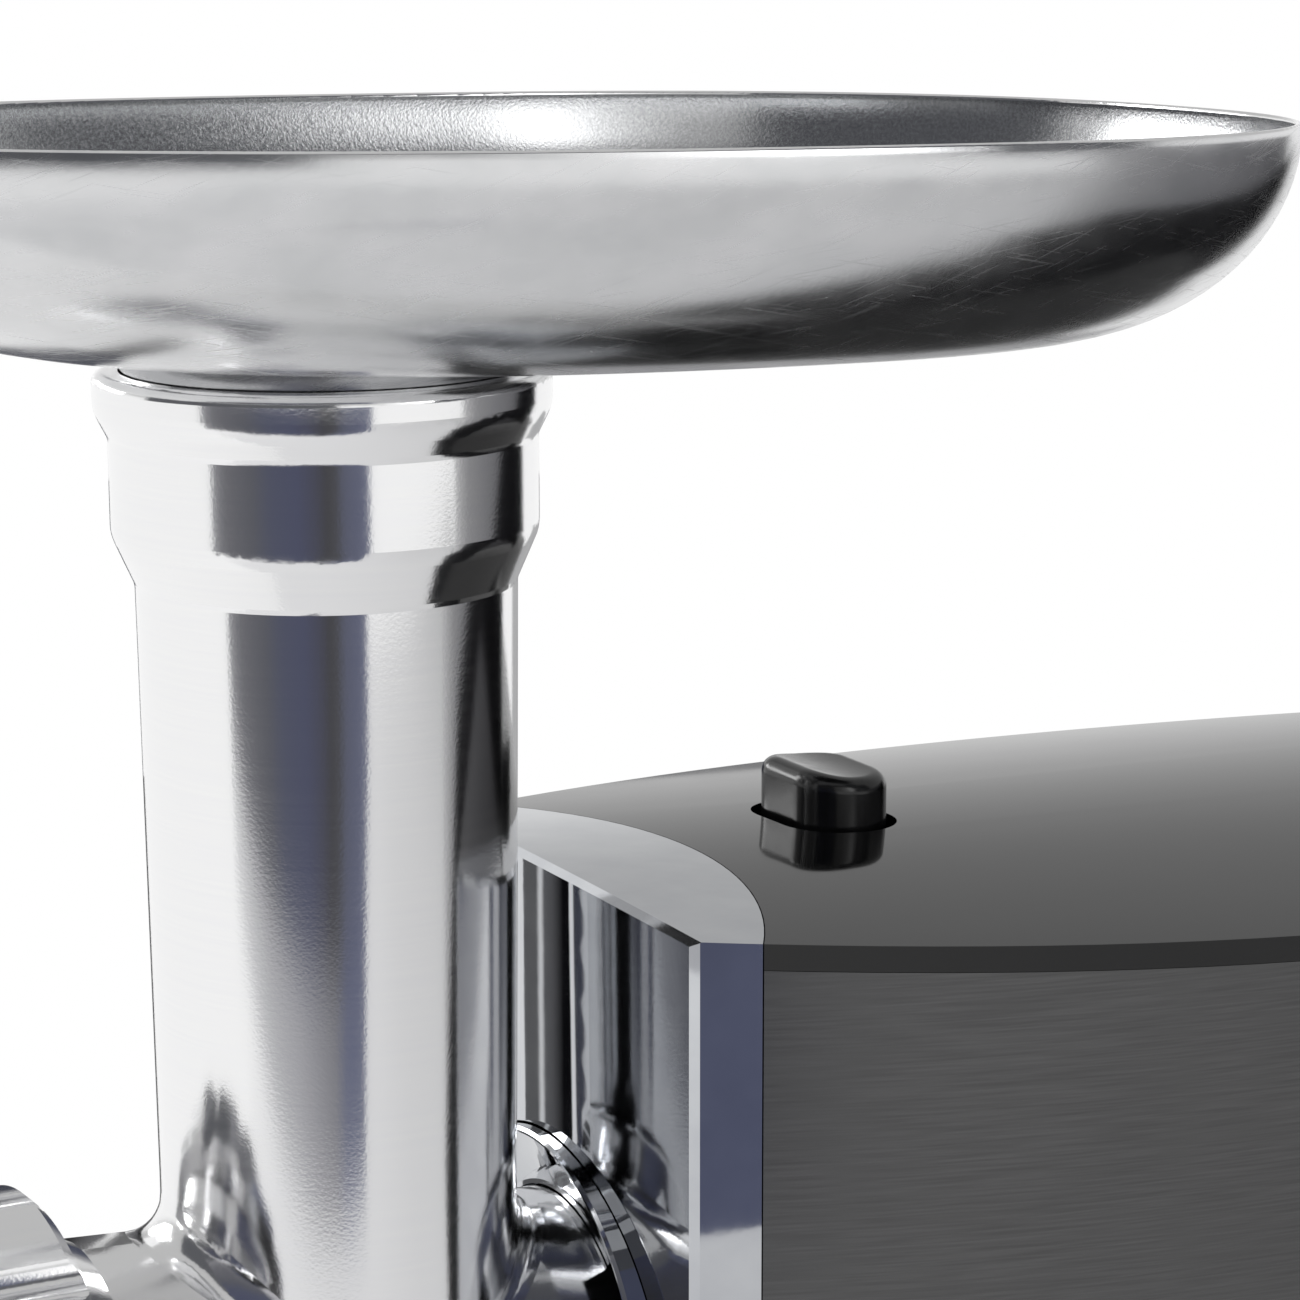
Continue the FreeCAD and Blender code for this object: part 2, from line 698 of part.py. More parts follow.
def make_nut():
    cup = turned("nut_cup", [
        ("0", "nut_mouth"),
        ("0", "nut_radius - 2"),
        ("2", "nut_radius"),
        ("nut_length - 2", "nut_radius"),
        ("nut_length", "nut_radius - 2"),
        ("nut_length", "collar_radius + fit_gap"),
        ("nut_lip", "collar_radius + fit_gap"),
        ("nut_lip", "nut_mouth"),
    ], ("nut_front", "0", "axis_height"), "X")
    grips = []
    count = 12
    for i in range(count):
        turn = "%d * 360 / %d" % (i, count)
        reach = "nut_radius + nut_scallop * 0.55"
        grips.append(cylinder("grip_%d" % i, "nut_scallop", "nut_length + 2",
                              ("nut_front - 1", "(%s) * sin(%s)" % (reach, turn),
                               "axis_height + (%s) * cos(%s)" % (reach, turn)), "X"))
    node("ring_nut", cut("ring_nut", cup, grips))


def make_socket_ring():
    ring = turned("ring_form", [
        ("ring_dish", "ring_bore"),
        ("ring_dish", "ring_bore + 0.8"),
        ("0", "ring_radius - 0.9"),
        ("0", "ring_radius - 0.5"),
        ("0.5", "ring_radius"),
        ("bulkhead_x - ring_front", "ring_radius"),
        ("bulkhead_x - ring_front", "ring_bore"),
    ], ("ring_front", "0", "axis_height"), "X")
    groove = cylinder("ring_groove", "groove_radius", "lug_length + 2 * fit_gap",
                      ("tube_x + lug_front - fit_gap", "0", "axis_height"), "X")
    tools = [groove]
    for i in range(int(num("lug_count"))):
        entry = cylinder("entry_%d" % i, "groove_radius", "tube_x + lug_front - ring_front + 1",
                         ("ring_front - 1", "0", "axis_height"), "X", "entry_span")
        start = 90 - num("entry_span") / 2 + math.degrees(math.tau * (i + 0.5) / num("lug_count"))
        entry.Placement.Rotation = ALONG["X"].multiply(FreeCAD.Rotation(V(0, 0, 1), start))
        tools.append(entry)
    tools.append(box("nose_slot", ("nose_length + 7", "lever_thick + 1", "ring_radius"),
                     ("tube_x + lever_nose - nose_length / 2 - 5.5",
                      "button_side - lever_thick / 2 - 0.5",
                      "axis_height + nose_tip_rise - 1.5")))
    node("socket_ring", cut("socket_ring", ring, tools))


# Casing

def hull(name, inset, roof, low):
    """The casing's block: bowed sides, front and rear and a crowned roof, drawn in by an inset."""
    tall = "top_height"
    sides = [cylinder(name + "_side_a", "side_radius - (%s)" % inset, tall,
                      ("widest_x", "side_offset", low)),
             cylinder(name + "_side_b", "side_radius - (%s)" % inset, tall,
                      ("widest_x", "-side_offset", low)),
             cylinder(name + "_front", "front_radius - (%s)" % inset, tall,
                      ("fascia_x + front_radius", "0", low))]
    round_end = cylinder(name + "_round", "rear_radius - (%s)" % inset, tall, ("rear_middle", "0", low))
    ahead = box(name + "_ahead", ("bow_meet_x - fascia_x + 9", "4 * rear_radius", tall),
                ("fascia_x - 9", "-2 * rear_radius", low))
    sides.append(fuse(name + "_plan", [round_end, ahead]))
    tilt = num("crown_tilt")
    crown = cylinder(name + "_crown", "crown_radius - (%s)" % roof, "2 * body_rear",
                     ("fascia_x - 100", "0",
                      "top_height - crown_radius / cos(crown_tilt) + 100 * tan(crown_tilt)"), "X")
    crown.Placement.Rotation = FreeCAD.Rotation(V(0, 1, 0), tilt).multiply(ALONG["X"])
    return common(name, sides + [crown])


def joint_cylinder(name, extra):
    """The upright cylinder whose rear face is the line between fascia and cover."""
    return cylinder(name, "joint_radius + (%s)" % extra, "2 * top_height",
                    ("joint_x", "0", "-top_height / 2"))


def behind(name, x, low="0"):
    """Everything behind a station."""
    return box(name, ("body_rear", "4 * body_half_width", "2 * top_height"),
               (x, "-2 * body_half_width", low))


def make_fascia():
    block = hull("fascia_block", "0", "0", "pan_top")
    nose = common("fascia_nose", [block, joint_cylinder("fascia_joint", "0")])
    doc.recompute()
    front = num("fascia_x + 6")
    top = num("top_height - 8")

    def leading(edge):
        box_ = edge.BoundBox
        rim = box_.ZMin > top and box_.XMax < front
        corner = upright(edge) and box_.XMax < front
        return rim or corner
    sharp = doc.addObject("Part::Chamfer", "fascia_edges")
    sharp.Base = nose
    size = num("fascia_chamfer")
    sharp.Edges = [(i, size, size) for i, edge in enumerate(nose.Shape.Edges, start=1) if leading(edge)]
    inside = hull("fascia_inside", "fascia_wall", "fascia_wall", "pan_top - 1")
    eye = cylinder("fascia_eye", "ring_radius + fit_gap", "joint_back",
                   ("fascia_x - 2", "0", "axis_height"), "X")
    node("front_fascia", cut("front_fascia", sharp, [inside, eye]))


def make_cover():
    block = hull("cover_block", "0", "0", "axis_height")
    under = hull("cover_under", "-1", "cover_band", "0")
    inside = hull("cover_inside", "cover_wall", "cover_wall", "0")
    lid = cut("cover_lid", block, [joint_cylinder("cover_joint", "seam"), under])
    shell = cut("cover_shell", lid, [inside])
    cup = slab("cup_form", ("button_length + 2 * button_gap + 2 * cup_wall",
                            "button_width + 2 * button_gap + 2 * cup_wall", "cup_depth"),
               "button_corner + button_gap + cup_wall", ("button_x", "button_side", "cup_floor - 2"))
    cup_cut = common("cup_trim", [cup, hull("cup_roof", "0", "cover_wall / 2", "0")])
    whole = fuse("cover_whole", [shell, cup_cut])
    well = slab("button_well", ("button_length + 2 * button_gap", "button_width + 2 * button_gap",
                                "3 * cup_depth"),
                "button_corner + button_gap", ("button_x", "button_side", "cup_floor"))
    hole = cylinder("stem_hole", "stem_radius + fit_gap", "6",
                    ("button_x", "button_side", "cup_floor - 4"))
    node("top_cover", cut("top_cover", whole, [well, hole]))


def switch_opening(name, margin, depth):
    wide = "rocker_width + 2 * switch_wall + 2 * (%s)" % margin
    tall = "rocker_height + 2 * switch_wall + 2 * (%s)" % margin
    return box(name, (wide, depth, tall),
               ("widest_x - (%s) / 2" % wide, "switch_y - 2", "switch_height - (%s) / 2" % tall))


def make_panels():
    outer = hull("panel_outer", "panel_inset", "cover_band + seam", "pan_top")
    inner = hull("panel_inner", "panel_inset + panel_thick", "0", "0")
    skin = cut("panel_skin", outer, [inner, joint_cylinder("panel_joint", "seam"),
                                     behind("panel_end", "tube_x + panel_rear")])
    left = box("left_half", ("2 * body_rear", "4 * body_half_width", "2 * top_height"),
               ("-body_rear", "-4 * body_half_width", "0"))
    right = box("right_half", ("2 * body_rear", "4 * body_half_width", "2 * top_height"),
                ("-body_rear", "0", "0"))
    near = common("left_skin", [skin, left])
    node("left_side_panel", cut("left_side_panel", near,
                                [switch_opening("panel_window", "fit_gap", "20")]))
    node("right_side_panel", common("right_side_panel", [skin, right]))


def screw_places():
    for back, tag in (("post_front", "front"), ("post_back", "back")):
        for side in (-1, 1):
            corner = tag + ("_left" if side < 0 else "_right")
            yield corner, "tube_x + %s" % back, "%d * %s_y" % (side, back)


def make_housing():
    inset = "panel_inset + panel_thick + seam"
    outer = hull("housing_outer", inset, "cover_band + seam", "pan_top")
    inner = hull("housing_inner", inset + " + housing_wall", "0", "0")
    wall = cut("housing_wall_form", outer,
               [inner, joint_cylinder("housing_joint", "seam"),
                behind("housing_end", "tube_x + panel_rear")])
    slab_box = box("bulkhead_slab", ("bulkhead_thick", "4 * body_half_width", "2 * top_height"),
                   ("bulkhead_x", "-2 * body_half_width", "0"))
    inside = hull("bulkhead_fill", "fascia_wall + seam", "cover_band + seam", "pan_top")
    bulkhead = common("bulkhead", [slab_box, inside])
    posts = []
    holes = []
    for tag, x, y in screw_places():
        posts.append(cylinder("post_" + tag, "post_radius", "post_height", (x, y, "pan_top")))
        holes.append(cylinder("post_hole_" + tag, "screw_radius + running_gap", "screw_reach",
                              (x, y, "pan_top - 1")))
    whole = fuse("housing_whole", [wall, bulkhead] + posts)
    holes.append(cylinder("bush_way", "hub_radius + bush_wall + ear_thick + fit_gap",
                          "bulkhead_thick + 2",
                          ("bulkhead_x - 1", "0", "axis_height"), "X"))
    holes.append(box("lever_way", ("bulkhead_thick + 2", "lever_thick + 3", "lever_thick + 14"),
                     ("bulkhead_x - 1", "button_side - lever_thick / 2 - 1.5",
                      "lever_z - lever_thick / 2 - 3")))
    holes.append(switch_opening("housing_window", "2 * fit_gap", "20"))
    for i in range(4):
        holes.append(cylinder("bulkhead_hole_%d" % i, "case_screw + 0.1", "bulkhead_thick + 2",
                              ("bulkhead_x - 1",) + ear_place(i), "X"))
    node("main_housing", cut("main_housing", whole, holes))


def make_rear_cover():
    block = hull("rear_block", "0", "cover_band + seam", "pan_top")
    rear = common("rear_part", [block, behind("rear_zone", "tube_x + panel_rear + seam")])
    inside = hull("rear_inside", "rear_wall_thick", "0", "0")
    tools = [inside]
    count = int(num("vent_count"))
    for row in range(2):
        for i in range(count):
            tools.append(box("vent_%d_%d" % (row, i), ("rear_radius", "vent_width", "vent_height"),
                             ("rear_x - rear_radius / 2",
                              "(%d - (vent_count - 1) / 2) * vent_pitch - vent_width / 2" % i,
                              "vent_low + %d * (vent_height + vent_pitch)" % row)))
    tools.append(cylinder("gland_hole", "gland_radius + press_gap", "rear_radius",
                          ("rear_x - rear_radius / 2", "0", "gland_height"), "X"))
    pad = cylinder("gland_pad", "gland_flange + 1", "rear_wall_thick + 1",
                   ("rear_x - rear_wall_thick - 1", "0", "gland_height"), "X")
    shell = cut("rear_shell", rear, tools[:1])
    node("rear_cover", cut("rear_cover", fuse("rear_whole", [shell, pad]), tools[1:]))
    node("cord_gland", turned("cord_gland", [
        ("-3 - rear_wall_thick", "gland_bore"),
        ("-3 - rear_wall_thick", "gland_radius"),
        ("press_gap", "gland_radius"),
        ("press_gap", "gland_flange"),
        ("gland_proud", "gland_flange - 2"),
        ("gland_proud", "gland_bore"),
    ], ("rear_x", "0", "gland_height"), "X"))


def foot_places():
    for back, tag in (("foot_front", "front"), ("foot_back", "back")):
        for side in (-1, 1):
            corner = tag + ("_left" if side < 0 else "_right")
            yield corner, "tube_x + %s" % back, "%d * foot_half_track" % side


def make_base():
    block = hull("pan_block", "0", "0", "foot_height")
    lower = box("pan_zone", ("2 * body_rear", "4 * body_half_width", "pan_height"),
                ("-body_rear", "-2 * body_half_width", "foot_height"))
    solid = common("pan_solid", [block, lower])
    tools = [hull("pan_inside", "pan_wall", "0", "foot_height + pan_floor")]
    feet = []
    screws = []
    for tag, x, y in foot_places():
        tools.append(cylinder("foot_seat_" + tag, "foot_radius - foot_sink", "foot_sink + 1",
                              (x, y, "foot_height - 1")))
        feet.append(turned("foot_" + tag, [
            ("0", "0"),
            ("foot_radius - 1.5", "0"),
            ("foot_radius", "1.5"),
            ("foot_radius", "foot_height"),
            ("foot_radius - foot_sink - press_gap", "foot_height"),
            ("foot_radius - foot_sink - press_gap", "foot_height + foot_sink"),
            ("0", "foot_height + foot_sink"),
        ], (x, y, "0"), "Z"))
    for tag, x, y in screw_places():
        tools.append(cylinder("pan_hole_" + tag, "screw_radius + press_gap", "2 * pan_height",
                              (x, y, "foot_height - 1")))
        screws.append(turned("screw_" + tag, [
            ("0", "-screw_head_thick"),
            ("screw_head", "-screw_head_thick"),
            ("screw_head", "0"),
            ("screw_radius", "0"),
            ("screw_radius", "screw_reach"),
            ("0", "screw_reach"),
        ], (x, y, "foot_height"), "Z"))
    pillars = [cylinder("pillar_" + tag, "post_radius", "pan_height", (x, y, "foot_height"))
               for tag, x, y in screw_places()]
    hollow = cut("pan_hollow", solid, [tools[0]])
    whole = fuse("pan_whole", [hollow] + pillars)
    node("base_pan", cut("base_pan", whole, tools[1:]))
    node("rubber_feet", group("rubber_feet", feet))
    node("base_screws", group("base_screws", screws))


# Release

def make_release():
    top = "button_top + button_proud"
    cap = slab("button_cap", ("button_length", "button_width", "button_proud + button_sink"),
               "button_corner",
               ("button_x", "button_side", "button_top - button_sink"))
    hollow = cylinder("thumb_rest", "button_dish", "2 * button_width",
                      ("button_x + dish_back", "button_side - button_width",
                       "%s + button_dish - dish_fall" % top), "Y")
    dished = cut("button_dished", cap, [hollow])
    lowest = num(top + " - dish_fall") - 0.01
    softened = rounded("button_soft", dished, "button_round", lambda edge: edge.BoundBox.ZMin > lowest)
    stem = turned("button_stem", [
        ("0", "lever_thick / 2 + fit_gap"),
        ("stem_tip", "lever_thick / 2 + fit_gap"),
        ("stem_radius", "lever_thick / 2 + fit_gap + 2"),
        ("stem_radius", "button_top - button_sink - lever_z + 0.5"),
        ("0", "button_top - button_sink - lever_z + 0.5"),
    ], ("button_x", "button_side", "lever_z"), "Z")
    node("release_button", fuse("release_button", [softened, stem]))
    node("button_spring", feature("button_spring", spring_shape(),
                                  ("button_x", "button_side", "cup_floor")))

    bar = box("lever_bar", ("button_back - lever_nose + nose_length / 2 + 4", "lever_thick",
                            "lever_thick"),
              ("tube_x + lever_nose - nose_length / 2", "button_side - lever_thick / 2",
               "lever_z - lever_thick / 2"))
    nose = box("lever_nose_form", ("nose_length", "lever_thick", "lever_rise - nose_tip_rise"),
               ("tube_x + lever_nose - nose_length / 2", "button_side - lever_thick / 2",
                "axis_height + nose_tip_rise"))
    boss = cylinder("lever_boss", "lever_thick / 2 + 1", "lever_thick",
                    ("lever_x", "button_side - lever_thick / 2", "lever_z"), "Y")
    eye = cylinder("lever_eye", "lever_pin + running_gap", "lever_thick + 2",
                   ("lever_x", "button_side - lever_thick / 2 - 1", "lever_z"), "Y")
    node("lock_lever", cut("lock_lever", fuse("lever_form", [bar, nose, boss]), [eye]))
    node("lever_pin", cylinder("lever_pin", "lever_pin", "lever_thick + 2 * ear_thick + 2 * fit_gap",
                               ("lever_x", "button_side - lever_thick / 2 - ear_thick - fit_gap",
                                "lever_z"), "Y"))


def spring_shape():
    """Coil spring between the cup's floor and the button, with half a wire of room at each end."""
    wire = num("spring_wire")
    height = num("button_top - button_sink - cup_floor") - wire - 0.2
    pitch = height / num("spring_turns")
    spine = Part.Wire(Part.makeHelix(pitch, height, num("spring_radius")))
    ring = Part.Wire(Part.makeCircle(wire / 2, V(num("spring_radius"), 0, 0), V(0, 1, 0)))
    sweep = Part.BRepOffsetAPI.MakePipeShell(spine)
    sweep.setFrenetMode(True)
    sweep.add(ring)
    sweep.build()
    sweep.makeSolid()
    coil = sweep.shape()
    coil.translate(V(0, 0, wire / 2 + 0.1))
    return coil


# Switch

def make_switch():
    wide = "rocker_width + 2 * switch_wall"
    tall = "rocker_height + 2 * switch_wall"
    front = "switch_y - bezel_thick"
    flange = box("bezel_flange", ("%s + 2 * bezel_rim" % wide, "bezel_thick",
                                  "%s + 2 * bezel_rim" % tall),
                 ("widest_x - (%s) / 2 - bezel_rim" % wide, front,
                  "switch_height - (%s) / 2 - bezel_rim" % tall))
    soft = rounded("bezel_soft", flange, "3",
                   lambda edge: edge.BoundBox.YLength > 1 and edge.BoundBox.XLength < 0.1)
    sleeve = box("bezel_sleeve", (wide, "bezel_thick + 8", tall),
                 ("widest_x - (%s) / 2" % wide, front, "switch_height - (%s) / 2" % tall))
    opening = box("bezel_opening", ("rocker_width", "40", "rocker_height"),
                  ("widest_x - rocker_width / 2", "%s - 10" % front, "switch_height - rocker_height / 2"))
    node("switch_bezel", cut("switch_bezel", fuse("bezel_form", [soft, sleeve]), [opening]))
    body_front = "%s + bezel_thick + 8" % front
    block = box("switch_block", (wide, "switch_depth - 8", tall),
                ("widest_x - (%s) / 2" % wide, body_front, "switch_height - (%s) / 2" % tall))
    blades = [box("terminal_%d" % i, ("6", "9", "0.8"),
                  ("widest_x - 3", "%s + switch_depth - 8" % body_front,
                   "switch_height + %d * 8 - 0.4" % (i - 1)))
              for i in range(3)]
    node("switch_body", fuse("switch_body", [block] + blades))
    # rocker: a shallow V of two faces over a round back that turns about X
    pivot = "%s + 3" % front
    half = num("rocker_height") / 2 - 0.4
    back = half * math.sin(math.radians(num("rocker_swing"))) + 0.3
    swing = math.tan(math.radians(num("rocker_swing")))
    outline = [(0, -2.2), (half - 1.2, -2.2 - (half - 1.2) * swing), (half - 0.2, -half * swing),
               (half - 0.8, 0.4), (3, back + 1.6), (-3, back + 1.6), (0.8 - half, 0.4),
               (0.2 - half, -half * swing), (1.2 - half, -2.2 - (half - 1.2) * swing)]
    points = [V(0, depth, rise) for rise, depth in outline]
    face = Part.Face(Part.makePolygon(points + [points[0]]))
    rocker = face.extrude(V(num("rocker_width") - 0.8, 0, 0))
    node("rocker_switch", feature("rocker_switch", rocker,
                                  ("widest_x - rocker_width / 2 + 0.4", pivot, "switch_height")))


# Gearbox

def ear_place(i):
    """Middle of one of the four screw ears, across the axis."""
    turn = "45 + 90 * %d" % i
    return ("ear_circle * cos(%s)" % turn, "axis_height + ear_circle * sin(%s)" % turn)


def gear_shape(teeth, module, shift, width, bore, phase):
    """Spur gear about Z with a tooth centred on the phase angle, in degrees."""
    pressure = math.radians(20)
    pitch = teeth * module / 2
    base = pitch * math.cos(pressure)
    tip = pitch + module * (1 + shift)
    root = pitch - module * (1.25 - shift)
    half = (math.pi / 2 + 2 * shift * math.tan(pressure)) / teeth - num("backlash") / (2 * pitch)
    roll = math.tan(pressure) - pressure
    flank = []
    for i in range(4):
        radius = max(base, root) + (tip - max(base, root)) * i / 3
        turn = math.acos(min(1, base / radius))
        flank.append((radius, half + roll - (math.tan(turn) - turn)))
    side = [(root, flank[0][1])] + flank if root < base - 0.01 else flank
    points = []
    for i in range(int(teeth)):
        middle = math.radians(phase) + 2 * math.pi * i / teeth
        for radius, off in side:
            points.append(V(radius * math.cos(middle - off), radius * math.sin(middle - off), 0))
        for radius, off in reversed(side):
            points.append(V(radius * math.cos(middle + off), radius * math.sin(middle + off), 0))
    face = Part.Face(Part.makePolygon(points + [points[0]]))
    solid = face.extrude(V(0, 0, width))
    return solid.cut(Part.makeCylinder(bore, width + 2, V(0, 0, -1)))


def bearing_to(from_y, from_z, to_y, to_z):
    """Direction from one axis to another, in degrees from +Y towards +Z."""
    return math.degrees(math.atan2(to_z - from_z, to_y - from_y))


def make_gears():
    shift = num("profile_shift")
    idler = (num("idler_y"), num("idler_z"))
    drive = (0, num("axis_height"))
    motor = (0, num("motor_z"))
    to_idler = bearing_to(*drive, *idler)
    to_motor = bearing_to(*idler, *motor)
    big = gear_shape(num("gear_teeth"), num("gear_module"), -shift, num("gear_width"),
                     num("shaft_radius + press_gap"), to_idler)
    rim = num("gear_module * gear_teeth / 2 - 2.5 * gear_module - 3")
    for low in (0, num("gear_width") - 4):
        web = Part.makeCylinder(rim, 4, V(0, 0, low))
        hub = Part.makeCylinder(num("shaft_radius + 6"), 4, V(0, 0, low))
        big = big.cut(web.cut(hub))
    node("output_gear", feature("output_gear", big, ("case_inner + gear_front", "0", "axis_height"), "X"))

    small_width = num("gear_width + 3")
    bore = num("idler_pin + running_gap")
    small = gear_shape(num("idler_small_teeth"), num("gear_module"), shift, small_width, bore,
                       to_idler + 180 + 180 / num("idler_small_teeth"))
    large = gear_shape(num("idler_large_teeth"), num("idler_module"), -shift, num("idler_large_width"),
                       bore, to_motor)
    large.translate(V(0, 0, small_width))
    hub = Part.makeCylinder(num("idler_pin + 2"), num("case_depth - gear_front - 0.6"), V(0, 0, 0))
    hub = hub.cut(Part.makeCylinder(bore, num("case_depth") + 2, V(0, 0, -1)))
    short = Part.makeCylinder(num("idler_pin + 2"), num("gear_front - 0.4"),
                              V(0, 0, -num("gear_front - 0.4")))
    short = short.cut(Part.makeCylinder(bore, num("gear_front") + 2, V(0, 0, -num("gear_front") - 1)))
    compound = small.fuse([large, hub, short]).removeSplitter()
    node("idler_gear", feature("idler_gear", compound, ("case_inner + gear_front", "idler_y", "idler_z"),
                               "X"))

    pinion = gear_shape(num("pinion_teeth"), num("idler_module"), shift, num("pinion_width"),
                        num("motor_shaft + press_gap"), to_motor + 180 + 180 / num("pinion_teeth"))
    node("motor_pinion", feature("motor_pinion", pinion, ("idler_large_x - 0.5", "0", "motor_z"), "X"))


def make_shafts():
    hub_front = "tail_x + 0.3"
    shaft = turned("shaft_form", [
        (hub_front, "0"),
        (hub_front, "hub_radius"),
        ("case_inner + gear_front - 0.5", "hub_radius"),
        ("case_inner + gear_front - 0.5", "shaft_radius"),
        ("case_inner + gear_front + gear_width", "shaft_radius"),
        ("case_inner + gear_front + gear_width", "journal_radius"),
        ("case_rear + case_back - 1", "journal_radius"),
        ("case_rear + case_back - 1", "0"),
    ], ("0", "0", "axis_height"), "X")
    side = "tail_square + fit_gap"
    hole = box("shaft_socket", ("tail_length + 1.5", side, side),
               (hub_front + " - 1", "-(%s) / 2" % side, "axis_height - (%s) / 2" % side))
    node("drive_shaft", cut("drive_shaft", shaft, [hole]))
    front = turned("front_bush", [
        ("0", "hub_radius + running_gap"),
        ("0", "hub_radius + bush_wall"),
        ("case_inner - case_front + 6.5", "hub_radius + bush_wall"),
        ("case_inner - case_front + 6.5", "hub_radius + running_gap"),
    ], ("case_front - 6.5", "0", "axis_height"), "X")
    rear = turned("rear_bush", [
        ("0", "journal_radius + running_gap"),
        ("0", "journal_radius + bush_wall"),
        ("case_back - 1", "journal_radius + bush_wall"),
        ("case_back - 1", "journal_radius + running_gap"),
    ], ("case_rear", "0", "axis_height"), "X")
    node("drive_bushes", group("drive_bushes", [front, rear]))
    node("idler_shaft", cylinder("idler_shaft", "idler_pin",
                                 "wall_thick / 2 + case_depth + case_back - 1",
                                 ("case_inner - wall_thick / 2", "idler_y", "idler_z"), "X"))


def make_gearbox():
    depth = "case_depth + case_back"
    step = "gear_front + gear_width"
    outer = [
        cylinder("case_main", "case_radius", depth, ("case_inner", "0", "axis_height"), "X"),
        cylinder("case_idler", "idler_case", "case_depth + case_back - (%s)" % step,
                 ("case_inner + " + step, "idler_y", "idler_z"), "X"),
        cylinder("case_idler_front", "idler_case_small", depth, ("case_inner", "idler_y", "idler_z"),
                 "X"),
        cylinder("case_motor", "bearing_radius + 8", "case_depth + case_back - (%s)" % step,
                 ("case_inner + " + step, "0", "motor_z"), "X"),
    ]
    outer += [cylinder("case_ear_%d" % i, "ear_radius", "ear_depth", ("case_inner",) + ear_place(i), "X")
              for i in range(4)]
    for side, tag in ((-1, "near"), (1, "far")):
        middle = "button_side + %d * (lever_thick / 2 + fit_gap + ear_thick / 2)" % side
        outer.append(box("lever_ear_" + tag, ("12", "ear_thick", "lever_rise + 6"),
                         ("lever_x - 6", middle + " - ear_thick / 2", "axis_height")))
    inner = [
        cylinder("case_room", "case_bore", "case_depth + 1", ("case_inner - 1", "0", "axis_height"), "X"),
        cylinder("idler_room", "idler_case - case_wall", "case_depth - (%s) - 2" % step,
                 ("case_inner + 2 + " + step, "idler_y", "idler_z"), "X"),
        cylinder("idler_room_front", "idler_case_small - case_wall", "case_depth + 1",
                 ("case_inner - 1", "idler_y", "idler_z"), "X"),
        cylinder("pinion_room", "bearing_radius", "case_depth + case_back",
                 ("case_inner + 2 + " + step, "0", "motor_z"),
                 "X"),
        cylinder("rear_bush_seat", "journal_radius + bush_wall + press_gap", "case_back + 2",
                 ("case_rear - 1", "0", "axis_height"), "X"),
        cylinder("idler_seat", "idler_pin + press_gap", "case_back + 2",
                 ("case_rear - 1", "idler_y", "idler_z"), "X"),
        cylinder("lever_pin_seat", "lever_pin + press_gap", "4 * lever_thick",
                 ("lever_x", "button_side - 2 * lever_thick", "lever_z"), "Y"),
    ]
    inner += [cylinder("ear_hole_%d" % i, "case_screw + press_gap", "ear_depth - 1",
                       ("case_inner - 1",) + ear_place(i),
                       "X") for i in range(4)]
    node("gearbox_housing", cut("gearbox_housing", fuse("case_form", outer), inner))

    plate = [
        cylinder("lid_main", "case_radius", "wall_thick", ("case_front", "0", "axis_height"), "X"),
        cylinder("lid_idler", "idler_case_small", "wall_thick", ("case_front", "idler_y", "idler_z"),
                 "X"),
        cylinder("lid_boss", "hub_radius + bush_wall + ear_thick", "wall_thick + 6.5",
                 ("case_front - 6.5", "0", "axis_height"), "X"),
    ]
    plate += [cylinder("lid_ear_%d" % i, "ear_radius", "wall_thick", ("case_front",) + ear_place(i), "X")
              for i in range(4)]
    holes = [
        cylinder("front_bush_seat", "hub_radius + bush_wall + press_gap", "2 * case_depth",
                 ("case_front - case_depth", "0", "axis_height"), "X"),
        cylinder("idler_front_seat", "idler_pin + press_gap", "wall_thick",
                 ("case_inner - wall_thick / 2", "idler_y", "idler_z"), "X"),
    ]
    holes += [cylinder("lid_hole_%d" % i, "case_screw + press_gap", "wall_thick + 2",
                       ("case_front - 1",) + ear_place(i),
                       "X") for i in range(4)]
    node("gearbox_cover", cut("gearbox_cover", fuse("lid_form", plate), holes))

    screws = []
    for i in range(4):
        screws.append(turned("case_screw_%d" % i, [
            ("-3", "0"),
            ("-3", "case_screw_head"),
            ("0", "case_screw_head"),
            ("0", "case_screw"),
            ("bulkhead_thick + wall_thick + ear_depth - 3", "case_screw"),
            ("bulkhead_thick + wall_thick + ear_depth - 3", "0"),
        ], ("bulkhead_x",) + ear_place(i), "X"))
    node("gearbox_screws", group("gearbox_screws", screws))


# Motor

